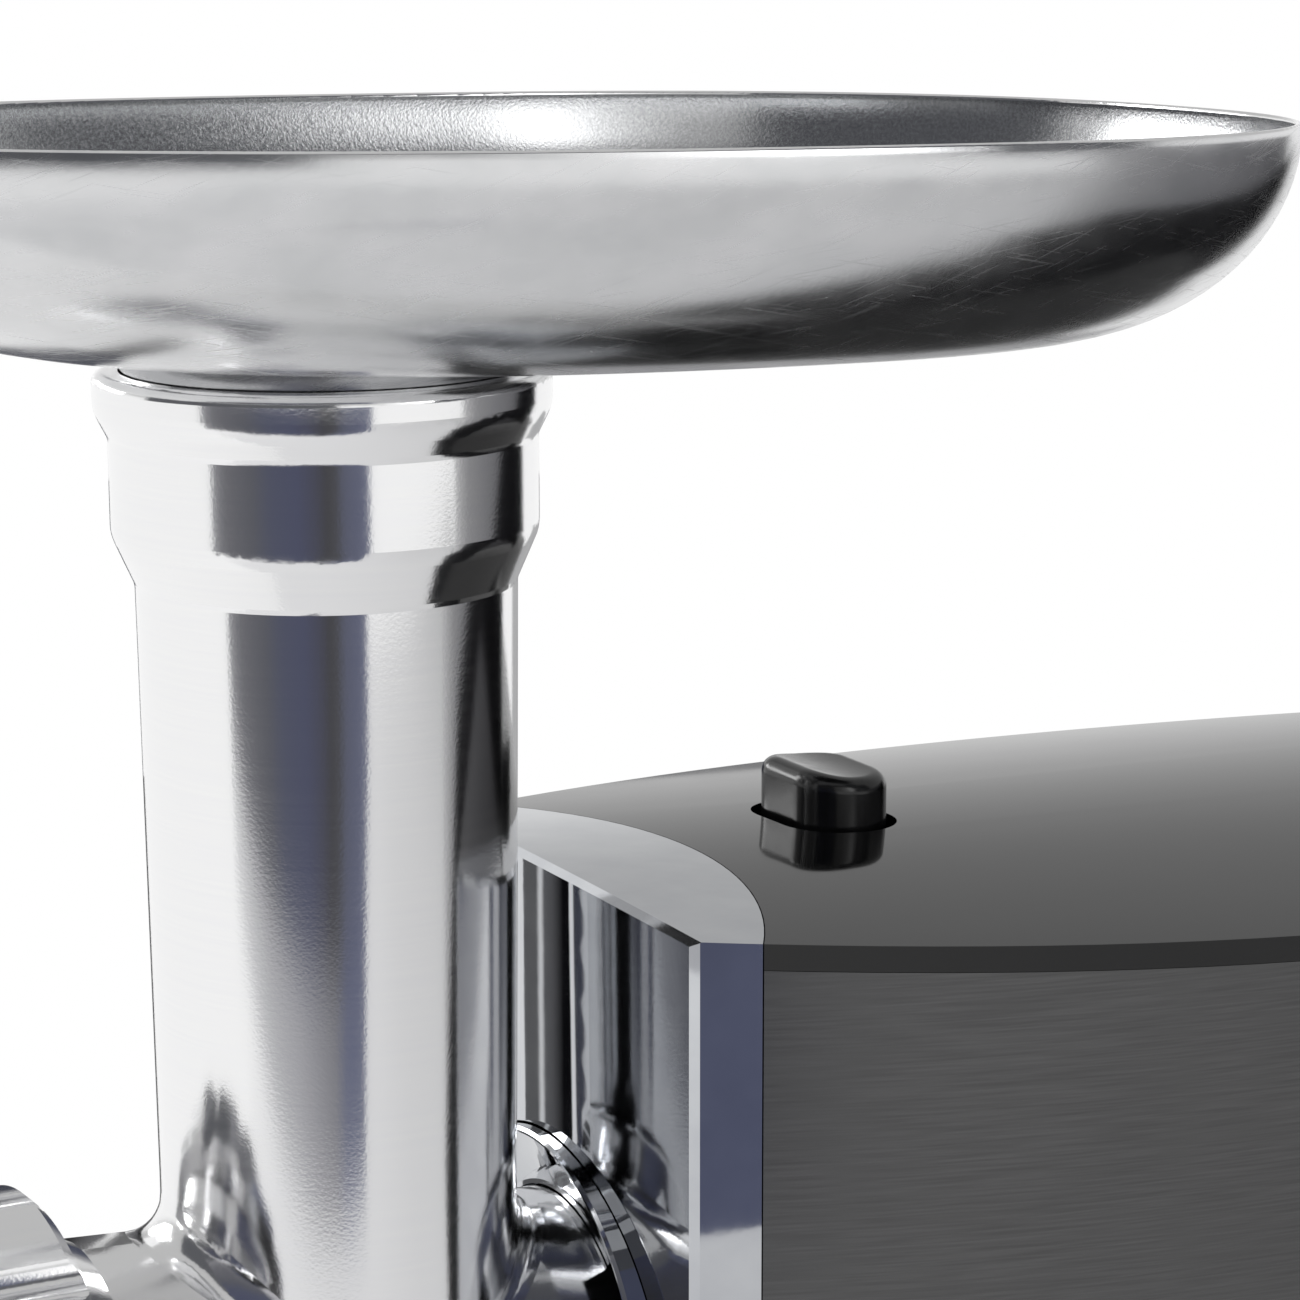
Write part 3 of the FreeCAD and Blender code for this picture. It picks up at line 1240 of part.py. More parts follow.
def make_stator():
    round_ = cylinder("stator_round", "stator_radius", "stack_length", ("stack_front", "0", "motor_z"),
                      "X")
    flats = box("stator_flats", ("stack_length", "4 * stator_radius", "2 * stator_flat"),
                ("stack_front", "-2 * stator_radius", "motor_z - stator_flat"))
    outer = common("stator_outer", [round_, flats])
    bore = cylinder("stator_bore", "armature_radius + air_gap", "stack_length + 2",
                    ("stack_front - 1", "0", "motor_z"), "X")
    window = cylinder("stator_window", "window_radius", "stack_length + 2",
                      ("stack_front - 1", "0", "motor_z"), "X")
    poles = box("stator_poles", ("stack_length + 2", "2 * pole_half", "4 * stator_radius"),
                ("stack_front - 1", "-pole_half", "motor_z - 2 * stator_radius"))
    sides = cut("stator_windows", window, [poles])
    tools = [bore, sides]
    for side in (-1, 1):
        tools.append(cylinder("stator_bolt_%d" % (side + 1), "bolt_radius + press_gap",
                              "stack_length + 2",
                              ("stack_front - 1", "%d * bolt_circle" % side, "motor_z"), "X"))
    node("stator_core", cut("stator_core", outer, tools))

    coils = []
    for side, tag in ((1, "upper"), (-1, "lower")):
        tube = turned("coil_tube_" + tag, [
            ("-coil_end", "coil_inner"),
            ("-coil_end", "coil_outer"),
            ("stack_length + coil_end", "coil_outer"),
            ("stack_length + coil_end", "coil_inner"),
        ], ("stack_front", "0", "motor_z"), "X")
        low = "motor_z + 2" if side > 0 else "motor_z - 2 - 2 * coil_outer"
        half = box("coil_half_" + tag, ("stack_length + 4 * coil_end", "4 * coil_outer",
                                        "2 * coil_outer"),
                   ("stack_front - 2 * coil_end", "-2 * coil_outer", low))
        pole = box("coil_pole_" + tag, ("stack_length + 1", "2 * pole_half + 1", "2 * coil_outer"),
                   ("stack_front - 0.5", "-pole_half - 0.5", low))
        coils.append(cut("coil_" + tag, common("coil_arch_" + tag, [tube, half]), [pole]))
    node("field_coils", group("field_coils", coils))


def make_rotor():
    node("armature_shaft", turned("armature_shaft", [
        ("idler_large_x - 0.5", "0"),
        ("idler_large_x - 0.5", "motor_shaft"),
        ("motor_end", "motor_shaft"),
        ("motor_end", "0"),
    ], ("0", "0", "motor_z"), "X"))
    core = cylinder("core_form", "armature_radius", "stack_length", ("stack_front", "0", "motor_z"), "X")
    tools = [cylinder("core_eye", "motor_shaft + press_gap", "stack_length + 2",
                      ("stack_front - 1", "0", "motor_z"), "X")]
    count = int(num("slot_count"))
    for i in range(count):
        slot = Part.makeBox(num("slot_depth + 1"), num("slot_width"), num("stack_length + 2"),
                            V(num("armature_radius - slot_depth"), -num("slot_width") / 2, 0))
        slot.rotate(V(0, 0, 0), V(0, 0, 1), 360 * i / count)
        tools.append(feature("core_slot_%d" % i, slot, ("stack_front - 1", "0", "motor_z"), "X"))
    node("armature_core", cut("armature_core", core, tools))
    ends = []
    for x, tag in (("stack_front - winding_length", "front"), ("stack_rear", "rear")):
        ends.append(turned("winding_" + tag, [
            ("0.1", "motor_shaft + press_gap"),
            ("0.1", "winding_radius - 2"),
            ("2", "winding_radius"),
            ("winding_length - 2", "winding_radius"),
            ("winding_length - 0.1", "winding_radius - 2"),
            ("winding_length - 0.1", "motor_shaft + press_gap"),
        ], (x, "0", "motor_z"), "X"))
    node("armature_winding", group("armature_winding", ends))
    bars = cylinder("commutator_form", "commutator_radius", "commutator_length",
                    ("commutator_x", "0", "motor_z"), "X")
    slits = [cylinder("commutator_eye", "motor_shaft + press_gap", "commutator_length + 2",
                      ("commutator_x - 1", "0", "motor_z"), "X")]
    for i in range(count):
        slit = Part.makeBox(2, 0.5, num("commutator_length + 2"),
                            V(num("commutator_radius") - 1, -0.25, 0))
        slit.rotate(V(0, 0, 0), V(0, 0, 1), 360 * (i + 0.5) / count)
        slits.append(feature("commutator_slit_%d" % i, slit, ("commutator_x - 1", "0", "motor_z"), "X"))
    node("commutator", cut("commutator", bars, slits))

    fan_x = "motor_front + bracket_plate + 3.5"
    disc = turned("fan_disc", [
        ("0", "motor_shaft + press_gap"),
        ("0", "fan_radius"),
        ("1.6", "fan_radius"),
        ("1.6", "motor_shaft + 5"),
        ("fan_width", "motor_shaft + 4"),
        ("fan_width", "motor_shaft + press_gap"),
    ], (fan_x, "0", "motor_z"), "X")
    blades = []
    for i in range(int(num("fan_blades"))):
        blade = Part.makeBox(num("fan_radius - motor_shaft - 9"), 1.4, num("fan_width") - 1.5,
                             V(num("motor_shaft + 9"), -0.7, 1.5))
        blade.rotate(V(num("motor_shaft + 9"), 0, 0), V(0, 0, 1), 18)
        blade.rotate(V(0, 0, 0), V(0, 0, 1), 360 * i / num("fan_blades"))
        blades.append(feature("fan_blade_%d" % i, blade, (fan_x, "0", "motor_z"), "X"))
    node("cooling_fan", fuse("cooling_fan", [disc] + blades))


def make_brackets():
    cup = turned("front_bracket_form", [
        ("0", "bearing_radius + press_gap"),
        ("0", "bracket_radius"),
        ("bracket_plate + bracket_depth", "bracket_radius"),
        ("bracket_plate + bracket_depth", "bracket_radius - bracket_wall"),
        ("bracket_plate", "bracket_radius - bracket_wall"),
        ("bracket_plate", "bearing_radius + 3"),
        ("bearing_width", "bearing_radius + 3"),
        ("bearing_width", "bearing_radius + press_gap"),
    ], ("motor_front", "0", "motor_z"), "X")
    tools = []
    for i in range(4):
        vent = Part.makeCylinder(num("bracket_radius + 2"), num("bracket_depth - 8"), V(0, 0, 0),
                                 V(0, 0, 1), 50)
        vent.rotate(V(0, 0, 0), V(0, 0, 1), 90 * i + 20)
        vent = vent.cut(Part.makeCylinder(num("bearing_radius + 8"), num("bracket_depth"), V(0, 0, -1)))
        tools.append(feature("bracket_vent_%d" % i, vent,
                             ("motor_front + bracket_plate + 4", "0", "motor_z"), "X"))
    tools += [cylinder("front_bolt_%d" % i, "bolt_radius + press_gap", "4 * bracket_depth",
                       ("motor_front + bracket_plate", "%d * bolt_circle" % (2 * i - 1), "motor_z"),
                       "X") for i in range(2)]
    node("motor_front_bracket", cut("motor_front_bracket", cup, tools))

    plate = turned("rear_bracket_form", [
        ("0", "bearing_radius + press_gap"),
        ("0", "bracket_radius"),
        ("bracket_plate", "bracket_radius"),
        ("bracket_plate", "bearing_radius + 3"),
        ("bearing_width", "bearing_radius + 3"),
        ("bearing_width", "bearing_radius + press_gap"),
    ], ("rear_bracket_x", "0", "motor_z"), "X")
    leg = box("bracket_leg", ("bracket_plate", "2 * leg_half",
                              "motor_z - foot_height - pan_floor - bearing_radius - 8"),
              ("rear_bracket_x", "-leg_half", "foot_height + pan_floor"))
    foot = box("bracket_foot", ("4 * bracket_plate", "2 * leg_half", "3"),
               ("rear_bracket_x - 1.5 * bracket_plate", "-leg_half", "foot_height + pan_floor"))
    spacers = []
    for i in range(2):
        spacers.append(cylinder("spacer_%d" % i, "bolt_radius + 2", "rear_bracket_x - stack_rear",
                                ("stack_rear", "%d * bolt_circle" % (2 * i - 1), "motor_z"), "X"))
    holes = [cylinder("rear_bolt_%d" % i, "bolt_radius + press_gap", "4 * bracket_depth",
                      ("stack_rear - 1", "%d * bolt_circle" % (2 * i - 1), "motor_z"),
                      "X") for i in range(2)]
    node("motor_rear_bracket", cut("motor_rear_bracket",
                                   fuse("rear_bracket_whole", [plate, leg, foot] + spacers), holes))

    bolts = []
    for i in range(2):
        bolts.append(turned("motor_bolt_%d" % i, [
            ("-bracket_depth", "0"),
            ("-bracket_depth", "bolt_radius"),
            ("rear_bracket_x + bracket_plate - stack_front", "bolt_radius"),
            ("rear_bracket_x + bracket_plate - stack_front", "bolt_radius + 1.6"),
            ("rear_bracket_x + bracket_plate - stack_front + 3", "bolt_radius + 1.6"),
            ("rear_bracket_x + bracket_plate - stack_front + 3", "0"),
        ], ("stack_front", "%d * bolt_circle" % (2 * i - 1), "motor_z"), "X"))
    node("motor_bolts", group("motor_bolts", bolts))

    rings = []
    for x, tag in (("motor_front", "front"), ("rear_bracket_x", "rear")):
        rings.append(turned("bearing_" + tag, [
            ("0", "motor_shaft + running_gap"),
            ("0", "bearing_radius"),
            ("bearing_width", "bearing_radius"),
            ("bearing_width", "motor_shaft + running_gap"),
        ], (x, "0", "motor_z"), "X"))
    node("motor_bearings", group("motor_bearings", rings))


def make_brushes():
    middle = "commutator_x + commutator_length / 2"
    holders = []
    brushes = []
    for side, tag in ((1, "far"), (-1, "near")):
        wide = "brush_width + 2 * holder_wall"
        tall = "brush_height + 2 * holder_wall"
        start = "commutator_radius + 2"
        low = start if side > 0 else "-(%s) - holder_reach" % start
        shell = box("holder_shell_" + tag, (wide, "holder_reach", tall),
                    ("%s - (%s) / 2" % (middle, wide), low, "motor_z - (%s) / 2" % tall))
        arm = box("holder_arm_" + tag, ("rear_bracket_x - (%s)" % middle, "8", tall),
                  (middle, "%s + holder_reach - 8" % low if side > 0 else low,
                   "motor_z - (%s) / 2" % tall))
        hole = box("holder_hole_" + tag, ("brush_width + press_gap * 2", "holder_reach + 2",
                                          "brush_height + press_gap * 2"),
                   ("%s - brush_width / 2 - press_gap" % middle, "%s - 1" % low,
                    "motor_z - brush_height / 2 - press_gap"))
        holders.append(cut("holder_" + tag, fuse("holder_form_" + tag, [shell, arm]), [hole]))
        near = "commutator_radius + 0.1"
        brush = box("brush_block_" + tag, ("brush_width", "brush_reach", "brush_height"),
                    ("%s - brush_width / 2" % middle, near if side > 0 else "-(%s) - brush_reach" % near,
                     "motor_z - brush_height / 2"))
        drum = cylinder("brush_face_" + tag, "commutator_radius + 0.1", "4 * brush_width",
                        ("%s - 2 * brush_width" % middle, "0", "motor_z"), "X")
        brushes.append(cut("brush_" + tag, brush, [drum]))
    node("brush_holders", group("brush_holders", holders))
    node("carbon_brushes", group("carbon_brushes", brushes))


def write_parts():
    """Check every object and write each piece to its file."""
    doc.recompute()
    for obj in doc.Objects:
        if "Invalid" in obj.State or "Error" in obj.State:
            raise RuntimeError("not built: %s %s" % (obj.Name, obj.State))
    for obj in nodes:
        if obj.Shape.isNull() or not obj.Shape.isValid() or not obj.Shape.Solids:
            raise RuntimeError("bad shape: " + obj.Label)
    os.makedirs("parts", exist_ok=True)
    for obj in nodes:
        obj.Shape.exportStep("parts/%s.step" % obj.Label)
        print("%-20s solids %d volume %.0f" % (obj.Label, len(obj.Shape.Solids), obj.Shape.Volume))


make_tray()
make_head()
make_plate()
make_knife()
make_auger()
make_nut()
make_socket_ring()
make_fascia()
make_cover()
make_panels()
make_housing()
make_rear_cover()
make_base()
make_release()
make_switch()
make_gears()
make_shafts()
make_gearbox()
make_stator()
make_rotor()
make_brackets()
make_brushes()
write_parts()
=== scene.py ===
"""Electric meat grinder: finishes, tray, spring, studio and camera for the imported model."""
import json
import math

import bpy
from mathutils import Matrix, Vector


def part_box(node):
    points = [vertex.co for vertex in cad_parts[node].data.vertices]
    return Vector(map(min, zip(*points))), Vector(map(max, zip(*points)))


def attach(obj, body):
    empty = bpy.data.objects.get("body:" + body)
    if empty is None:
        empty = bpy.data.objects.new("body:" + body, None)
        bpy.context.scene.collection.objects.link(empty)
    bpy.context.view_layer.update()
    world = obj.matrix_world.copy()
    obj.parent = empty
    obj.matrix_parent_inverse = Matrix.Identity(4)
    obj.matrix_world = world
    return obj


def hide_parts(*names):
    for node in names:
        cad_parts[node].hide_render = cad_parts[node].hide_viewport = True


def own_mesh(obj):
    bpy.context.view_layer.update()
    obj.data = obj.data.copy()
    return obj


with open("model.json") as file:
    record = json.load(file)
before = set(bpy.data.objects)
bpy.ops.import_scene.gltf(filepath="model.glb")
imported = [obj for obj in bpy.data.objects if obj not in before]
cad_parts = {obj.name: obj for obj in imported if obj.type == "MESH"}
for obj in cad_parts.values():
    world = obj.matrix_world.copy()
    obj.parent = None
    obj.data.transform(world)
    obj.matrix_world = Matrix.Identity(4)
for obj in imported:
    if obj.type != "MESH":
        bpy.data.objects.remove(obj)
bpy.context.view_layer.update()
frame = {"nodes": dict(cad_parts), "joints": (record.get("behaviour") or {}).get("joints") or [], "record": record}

joints = {joint["name"]: joint for joint in frame["joints"]}
TUBE_X = joints["auger_drive"]["pos_m"][0]
AXIS_Z = joints["auger_drive"]["pos_m"][2]
SHOULDER = AXIS_Z + 0.1367  # the step below the feed tube's wide band
MM_PER_M = 1000
NOISE_SPAN = (0.3, 0.7)  # where nearly all values of the noise lie


def linear(code):
    """Linear RGBA of an sRGB hex colour."""
    parts = [int(code[i:i + 2], 16) / 255 for i in (1, 3, 5)]
    bent = [p / 12.92 if p <= 0.04045 else ((p + 0.055) / 1.055) ** 2.4 for p in parts]
    return (*bent, 1.0)


def add(tree, kind, inputs=None, **settings):
    """A new node with its settings, its values and its links."""
    node = tree.nodes.new(kind)
    for key, value in settings.items():
        setattr(node, key, value)
    for key, value in (inputs or {}).items():
        if isinstance(value, bpy.types.NodeSocket):
            tree.links.new(value, node.inputs[key])
        else:
            node.inputs[key].default_value = value
    return node


def blank(name):
    """An empty material with its output node."""
    material = bpy.data.materials.new(name)
    material.use_nodes = True
    material.node_tree.nodes.clear()
    return material, material.node_tree, add(material.node_tree, "ShaderNodeOutputMaterial")


def marks(tree, size, turn=(0.0, 0.0, 0.0), detail=3.0):
    """Marks of a real size in mm along x, y and z, as a value of 0 to 1 over Object coordinates."""
    place = add(tree, "ShaderNodeTexCoord").outputs["Object"]
    laid = add(tree, "ShaderNodeMapping", {"Vector": place, "Rotation": turn})
    sized = add(tree, "ShaderNodeMapping", {
        "Vector": laid.outputs[0], "Scale": [MM_PER_M / mm for mm in size]})
    noise = add(tree, "ShaderNodeTexNoise", {
        "Vector": sized.outputs[0], "Scale": 1.0, "Detail": detail})
    low, high = NOISE_SPAN
    return add(tree, "ShaderNodeMapRange", {0: noise.outputs["Fac"], 1: low, 2: high}).outputs[0]


def finish(name, dark, light, rough, size, relief=0.0, fine=None, **shading):
    """A finish whose marks drive its colour and gloss.
    The fine marks, or else the same ones, drive its relief in mm."""
    material, tree, out = blank(name)
    value = marks(tree, size)
    colour = add(tree, "ShaderNodeMixRGB", {
        "Fac": value, "Color1": linear(dark), "Color2": linear(light)})
    gloss = add(tree, "ShaderNodeMapRange", {0: value, 3: rough[0], 4: rough[1]})
    shader = add(tree, "ShaderNodeBsdfPrincipled", {
        "Base Color": colour.outputs[0], "Roughness": gloss.outputs[0], **shading})
    if relief:
        height = marks(tree, fine) if fine else value
        dent = add(tree, "ShaderNodeBump", {
            "Height": height, "Strength": 1.0, "Distance": relief / MM_PER_M})
        tree.links.new(dent.outputs[0], shader.inputs["Normal"])
    tree.links.new(shader.outputs[0], out.inputs[0])
    return material


HAIR_LEANS = (0.42, -0.18, 0.15)  # slopes of the three sets of scratches, in radians
HAIR_PEAK = 0.90                  # marks above this value show as scratches
HAIR_DULLING = 0.07               # roughness that a scratch adds


def scratched_sheet():
    """Pressed aluminium sheet, buffed outside: soft wide clouds and hairline scratches of handling.
    The scratches are 0.05 mm wide on the real sheet and are drawn 0.3 mm wide to show."""
    material, tree, out = blank("buffed_aluminium_outside")
    cloud = marks(tree, (14, 14, 9))
    scratches = 0.0
    for lean in HAIR_LEANS:
        hair = marks(tree, (16, 16, 0.3), (0.0, lean, 0.0), 1.0)
        peak = add(tree, "ShaderNodeMapRange", {0: hair, 1: HAIR_PEAK, 2: 1.0}).outputs[0]
        scratches = add(tree, "ShaderNodeMath", {0: scratches, 1: peak},
                        operation="MAXIMUM").outputs[0]
    colour = add(tree, "ShaderNodeMixRGB", {
        "Fac": cloud, "Color1": linear("#d2d3d4"), "Color2": linear("#e0e0e1")})
    gloss = add(tree, "ShaderNodeMapRange", {0: cloud, 3: 0.17, 4: 0.24}).outputs[0]
    dulled = add(tree, "ShaderNodeMath", {0: scratches, 1: HAIR_DULLING, 2: gloss},
                 operation="MULTIPLY_ADD")
    pebble = marks(tree, (0.9, 0.9, 0.9))
    grain = add(tree, "ShaderNodeBump", {
        "Height": pebble, "Strength": 1.0, "Distance": 0.0025 / MM_PER_M})
    shader = add(tree, "ShaderNodeBsdfPrincipled", {
        "Base Color": colour.outputs[0], "Metallic": 1.0, "Roughness": dulled.outputs[0],
        "Normal": grain.outputs[0]})
    tree.links.new(shader.outputs[0], out.inputs[0])
    return material


# Finish of each material slot: its darker and lighter colour, roughness, marks in mm and relief.
LOOKS = {
    # cast aluminium, polished on a wheel: bright bands with a faintly pebbled edge
    "cast_aluminium": finish("polished_cast_aluminium", "#efeff0", "#f1f1f1", (0.11, 0.13),
                             (40, 40, 0.6), 0.004, (0.5, 0.5, 0.5), Metallic=1.0),
    # bright chromium on moulded plastic: a cool dark mirror with a slow ripple
    "chrome": finish("chromium_plate", "#c3c5c9", "#cbcdd0", (0.02, 0.04),
                     (9, 9, 9), 0.002, Metallic=1.0),
    # stainless sheet brushed along its length: short level hairlines that smear light up and down
    "panel_steel": finish("brushed_stainless", "#5b5b5b", "#676767", (0.21, 0.25),
                          (14, 14, 0.35), 0.0006, Metallic=1.0, Anisotropic=0.5),
    # moulded ABS polished in the tool: deep black with a clear, slightly uneven shine
    "black_gloss": finish("gloss_black_abs", "#060606", "#0a0a0b", (0.05, 0.09), (16, 16, 16)),
    # moulded polypropylene from a spark-eroded tool: dull black with a fine pebble
    "black_plastic": finish("grained_black_polypropylene", "#131314", "#1b1b1c", (0.38, 0.50),
                            (0.9, 0.9, 0.9), 0.02),
    # moulded rubber: soft black, nearly without shine
    "rubber": finish("moulded_rubber", "#101010", "#191919", (0.60, 0.75), (1.4, 1.4, 1.4), 0.02),
    # hardened tool steel, ground flat: grey with straight grinding lines
    "tool_steel": finish("ground_tool_steel", "#9fa1a4", "#bec0c3", (0.20, 0.34),
                         (12, 12, 0.5), 0.002, Metallic=1.0),
    # turned or pressed mild steel, zinc plated: pale cool grey with a light cloud
    "plain_steel": finish("zinc_plated_steel", "#b0b2b5", "#cacccf", (0.22, 0.34),
                          (3, 3, 3), Metallic=1.0),
    # injection-moulded nylon: milky ivory with a waxy shine
    "nylon": finish("natural_nylon", "#d6cfb9", "#e4decb", (0.35, 0.50), (5, 5, 5)),
    # die-cast zinc as it leaves the tool: flat grey, slightly blotched
    "grey_cast": finish("die_cast_zinc", "#898b8e", "#a0a2a5", (0.40, 0.55),
                        (2, 2, 2), 0.01, Metallic=1.0),
    # sintered bronze holding oil: matt brown gold with tiny pores
    "bronze": finish("sintered_bronze", "#a3743f", "#bf9058", (0.35, 0.50),
                     (0.8, 0.8, 0.8), 0.01, Metallic=1.0),
    # stacked electrical steel: grey plates 0.5 mm thick, drawn 1 mm so that they show
    "lamination": finish("stacked_electrical_steel", "#626468", "#8a8c90", (0.40, 0.55),
                         (1, 60, 60), 0.03, Metallic=1.0),
    # wound copper wire in varnish: warm red brown with fine strands
    "copper": finish("varnished_copper_wire", "#9a532b", "#c97a48", (0.28, 0.42),
                     (8, 0.8, 0.8), 0.05, Metallic=1.0),
    # pressed carbon: dead black with a slight sparkle
    "carbon": finish("pressed_carbon", "#161618", "#242427", (0.50, 0.65), (0.6, 0.6, 0.6), 0.01),
    # the tray's inside, blasted with glass beads: grey, sandy and only half mirror-like
    "tray_metal": finish("blasted_aluminium_inside", "#bdbec0", "#d3d4d5", (0.18, 0.25),
                         (0.5, 0.5, 0.5), 0.011, Metallic=1.0),
}
TRAY_OUTSIDE = scratched_sheet()
# the rim, trimmed and rolled over on a polishing wheel: a thin bright line
TRAY_RIM = finish("polished_aluminium_rim", "#e8e8e9", "#f3f3f3", (0.09, 0.14),
                  (6, 6, 1), Metallic=1.0)
# the button, moulded in ABS and lightly blasted: black with a soft sheen that thumbs have polished
BUTTON_LOOK = finish("satin_black_abs", "#0b0b0c", "#111112", (0.17, 0.25),
                     (4, 4, 4), 0.0015, (0.5, 0.5, 0.5))

slot_of = {part["node"]: part["material_slot"] for part in frame["record"]["subparts"]}
for name, piece in frame["nodes"].items():
    piece.data.materials.clear()
    piece.data.materials.append(BUTTON_LOOK if name == "release_button" else LOOKS[slot_of[name]])


def deselect():
    """Leave every object unselected and in object mode."""
    if bpy.context.object and bpy.context.object.mode != "OBJECT":
        bpy.ops.object.mode_set(mode="OBJECT")
    bpy.ops.object.select_all(action="DESELECT")


# Tray: an egg-shaped dish of thin sheet with a neck that drops into the feed tube.

TRAY_FLOOR = SHOULDER + 0.0366  # underside of the dish
TRAY_MID = TUBE_X + 0.0628      # widest place
TRAY_FRONT = 0.15915            # reach ahead of the widest place
TRAY_BACK = 0.0997              # reach behind it
TRAY_HALF = 0.0864              # half width
TRAY_DEPTH = 0.0346
TRAY_SQUARENESS = 2.3           # exponent of the outline
FLOOR_SHARE = 0.6               # floor's outline as a share of the rim's
DROOP = math.radians(0.7)       # slope of the dish to its rear end
SHEET = 0.0012
ROLL = 0.006                    # radius of the roll at the rim
ROLL_DEGREES = (15, 10, 5)      # rings of the roll, from the rim down
WALL_STEPS = 20
RIM_POINTS = 192
RIM_BAND = SHEET * 0.35         # an edge this near the top belongs to the rim
RIM_ROUND = SHEET * 0.42
RIM_LOOK = 2                    # place of the rim's look among the tray's looks
LEAST_STEP = 0.0003             # every ring of the neck is at least this far inside the one before
TRAY_SMOOTH = math.radians(35)
# radius and drop of the rings from the floor's hole down the neck
NECK_RINGS = ((0.0342, 0.0), (0.0332, 0.0004), (0.0322, 0.0013), (0.0315, 0.0023),
              (0.0312, 0.0034), (0.0312, 0.0246))


def tray_levels():
    """Share of the outline and height of each ring: the rolled edge, then the wall's round."""
    rolled = [math.radians(degrees) for degrees in ROLL_DEGREES]
    wall_top = TRAY_DEPTH - ROLL * math.sin(rolled[0])
    levels = [(1 - ROLL * (1 - math.cos(turn)) / TRAY_HALF, wall_top + ROLL * math.sin(turn))
              for turn in rolled]
    for step in range(WALL_STEPS + 1):
        turn = math.pi / 2 * (1 - step / WALL_STEPS)
        share = FLOOR_SHARE + (1 - FLOOR_SHARE) * math.sin(turn)
        levels.append((share, wall_top * (1 - math.cos(turn))))
    return levels


def egg(point, share, height):
    """A point of the unit circle moved to the outline: two half superellipses of unequal length."""
    power = 2 / TRAY_SQUARENESS
    reach = TRAY_BACK if point.x > 0 else TRAY_FRONT
    along = math.copysign(abs(point.x) ** power, point.x)
    across = math.copysign(abs(point.y) ** power, point.y)
    return Vector((TRAY_MID + share * along * reach, share * across * TRAY_HALF,
                   TRAY_FLOOR + height))


def draw_skin(tray):
    """The outer skin, drawn ring by ring from the rim to the floor's hole and on down the neck."""
    levels = tray_levels()
    for point in tray.data.vertices:
        point.co = egg(point.co, *levels[0])
    bpy.ops.object.mode_set(mode="EDIT")
    bpy.ops.mesh.select_all(action="SELECT")
    for (share, height), (next_share, next_height) in zip(levels, levels[1:]):
        bpy.ops.mesh.extrude_region_move(
            TRANSFORM_OT_translate={"value": (0, 0, next_height - height)})
        ratio = next_share / share
        bpy.ops.transform.resize(value=(ratio, ratio, 1), center_override=(TRAY_MID, 0, 0))
    for radius, drop in NECK_RINGS:
        bpy.ops.mesh.extrude_region_move()
        bpy.ops.object.mode_set(mode="OBJECT")
        for point in tray.data.vertices:
            if point.select:
                away = Vector((point.co.x - TUBE_X, point.co.y, 0))
                away.length = min(radius, away.length - LEAST_STEP)
                point.co = Vector((TUBE_X, 0, TRAY_FLOOR - drop)) + away
        bpy.ops.object.mode_set(mode="EDIT")
    bpy.ops.mesh.select_all(action="SELECT")
    bpy.ops.mesh.normals_make_consistent(inside=False)
    bpy.ops.object.mode_set(mode="OBJECT")
    wall = min(tray.data.polygons, key=lambda face: face.center.y)
    if wall.normal.y > 0:
        tray.data.flip_normals()


def thicken(tray):
    """The skin given the sheet's thickness, with a look each for outside, inside and rim."""
    for look in (TRAY_OUTSIDE, LOOKS["tray_metal"], TRAY_RIM):
        tray.data.materials.append(look)
    sheet = tray.modifiers.new("sheet", "SOLIDIFY")
    sheet.thickness = SHEET
    sheet.offset = -1
    sheet.use_even_offset = True
    sheet.material_offset = 1
    sheet.material_offset_rim = RIM_LOOK
    bpy.ops.object.modifier_apply(modifier="sheet")


def round_rim(tray, outer_points):
    """The rim's outer and inner edge rounded; the points of the outer skin come first."""
    points = tray.data.vertices
    for item in list(points) + list(tray.data.edges) + list(tray.data.polygons):
        item.select = False
    for edge in tray.data.edges:
        first, last = edge.vertices
        low = min(points[first].co.z, points[last].co.z)
        along_rim = (first < outer_points) == (last < outer_points)
        edge.select = low > TRAY_FLOOR + TRAY_DEPTH - RIM_BAND and along_rim
    bpy.ops.object.mode_set(mode="EDIT")
    bpy.ops.mesh.select_mode(type="EDGE")
    bpy.ops.mesh.bevel(offset=RIM_ROUND, segments=3, affect="EDGES", material=RIM_LOOK)
    bpy.ops.object.mode_set(mode="OBJECT")


def slope_dish(tray):
    """The dish turned to its slope, while the neck stays upright."""
    swing = Matrix.Rotation(DROOP, 4, "Y")
    pivot = Vector((TUBE_X, 0, TRAY_FLOOR))
    for point in tray.data.vertices:
        if (point.co - pivot).to_2d().length > NECK_RINGS[0][0] + SHEET:
            point.co = pivot + swing @ (point.co - pivot)


def make_tray():
    """The pressed tray, which lifts off the feed tube."""
    deselect()
    bpy.ops.mesh.primitive_circle_add(vertices=RIM_POINTS, radius=1.0)
    tray = bpy.context.object
    tray.name = "pressed_tray"
    draw_skin(tray)
    outer_points = len(tray.data.vertices)
    thicken(tray)
    round_rim(tray, outer_points)
    slope_dish(tray)
    bpy.ops.object.shade_smooth_by_angle(angle=TRAY_SMOOTH)
    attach(tray, "tray")
    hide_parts("hopper_tray")


make_tray()


# Spring under the release button: a coil of round wire, built at one length and carried by the casing.

SPRING_WIRE = 0.0009
SPRING_TURNS = 4
WIRE_SIDES = 12
STEPS_PER_TURN = 32
SPRING_SMOOTH = math.radians(50)


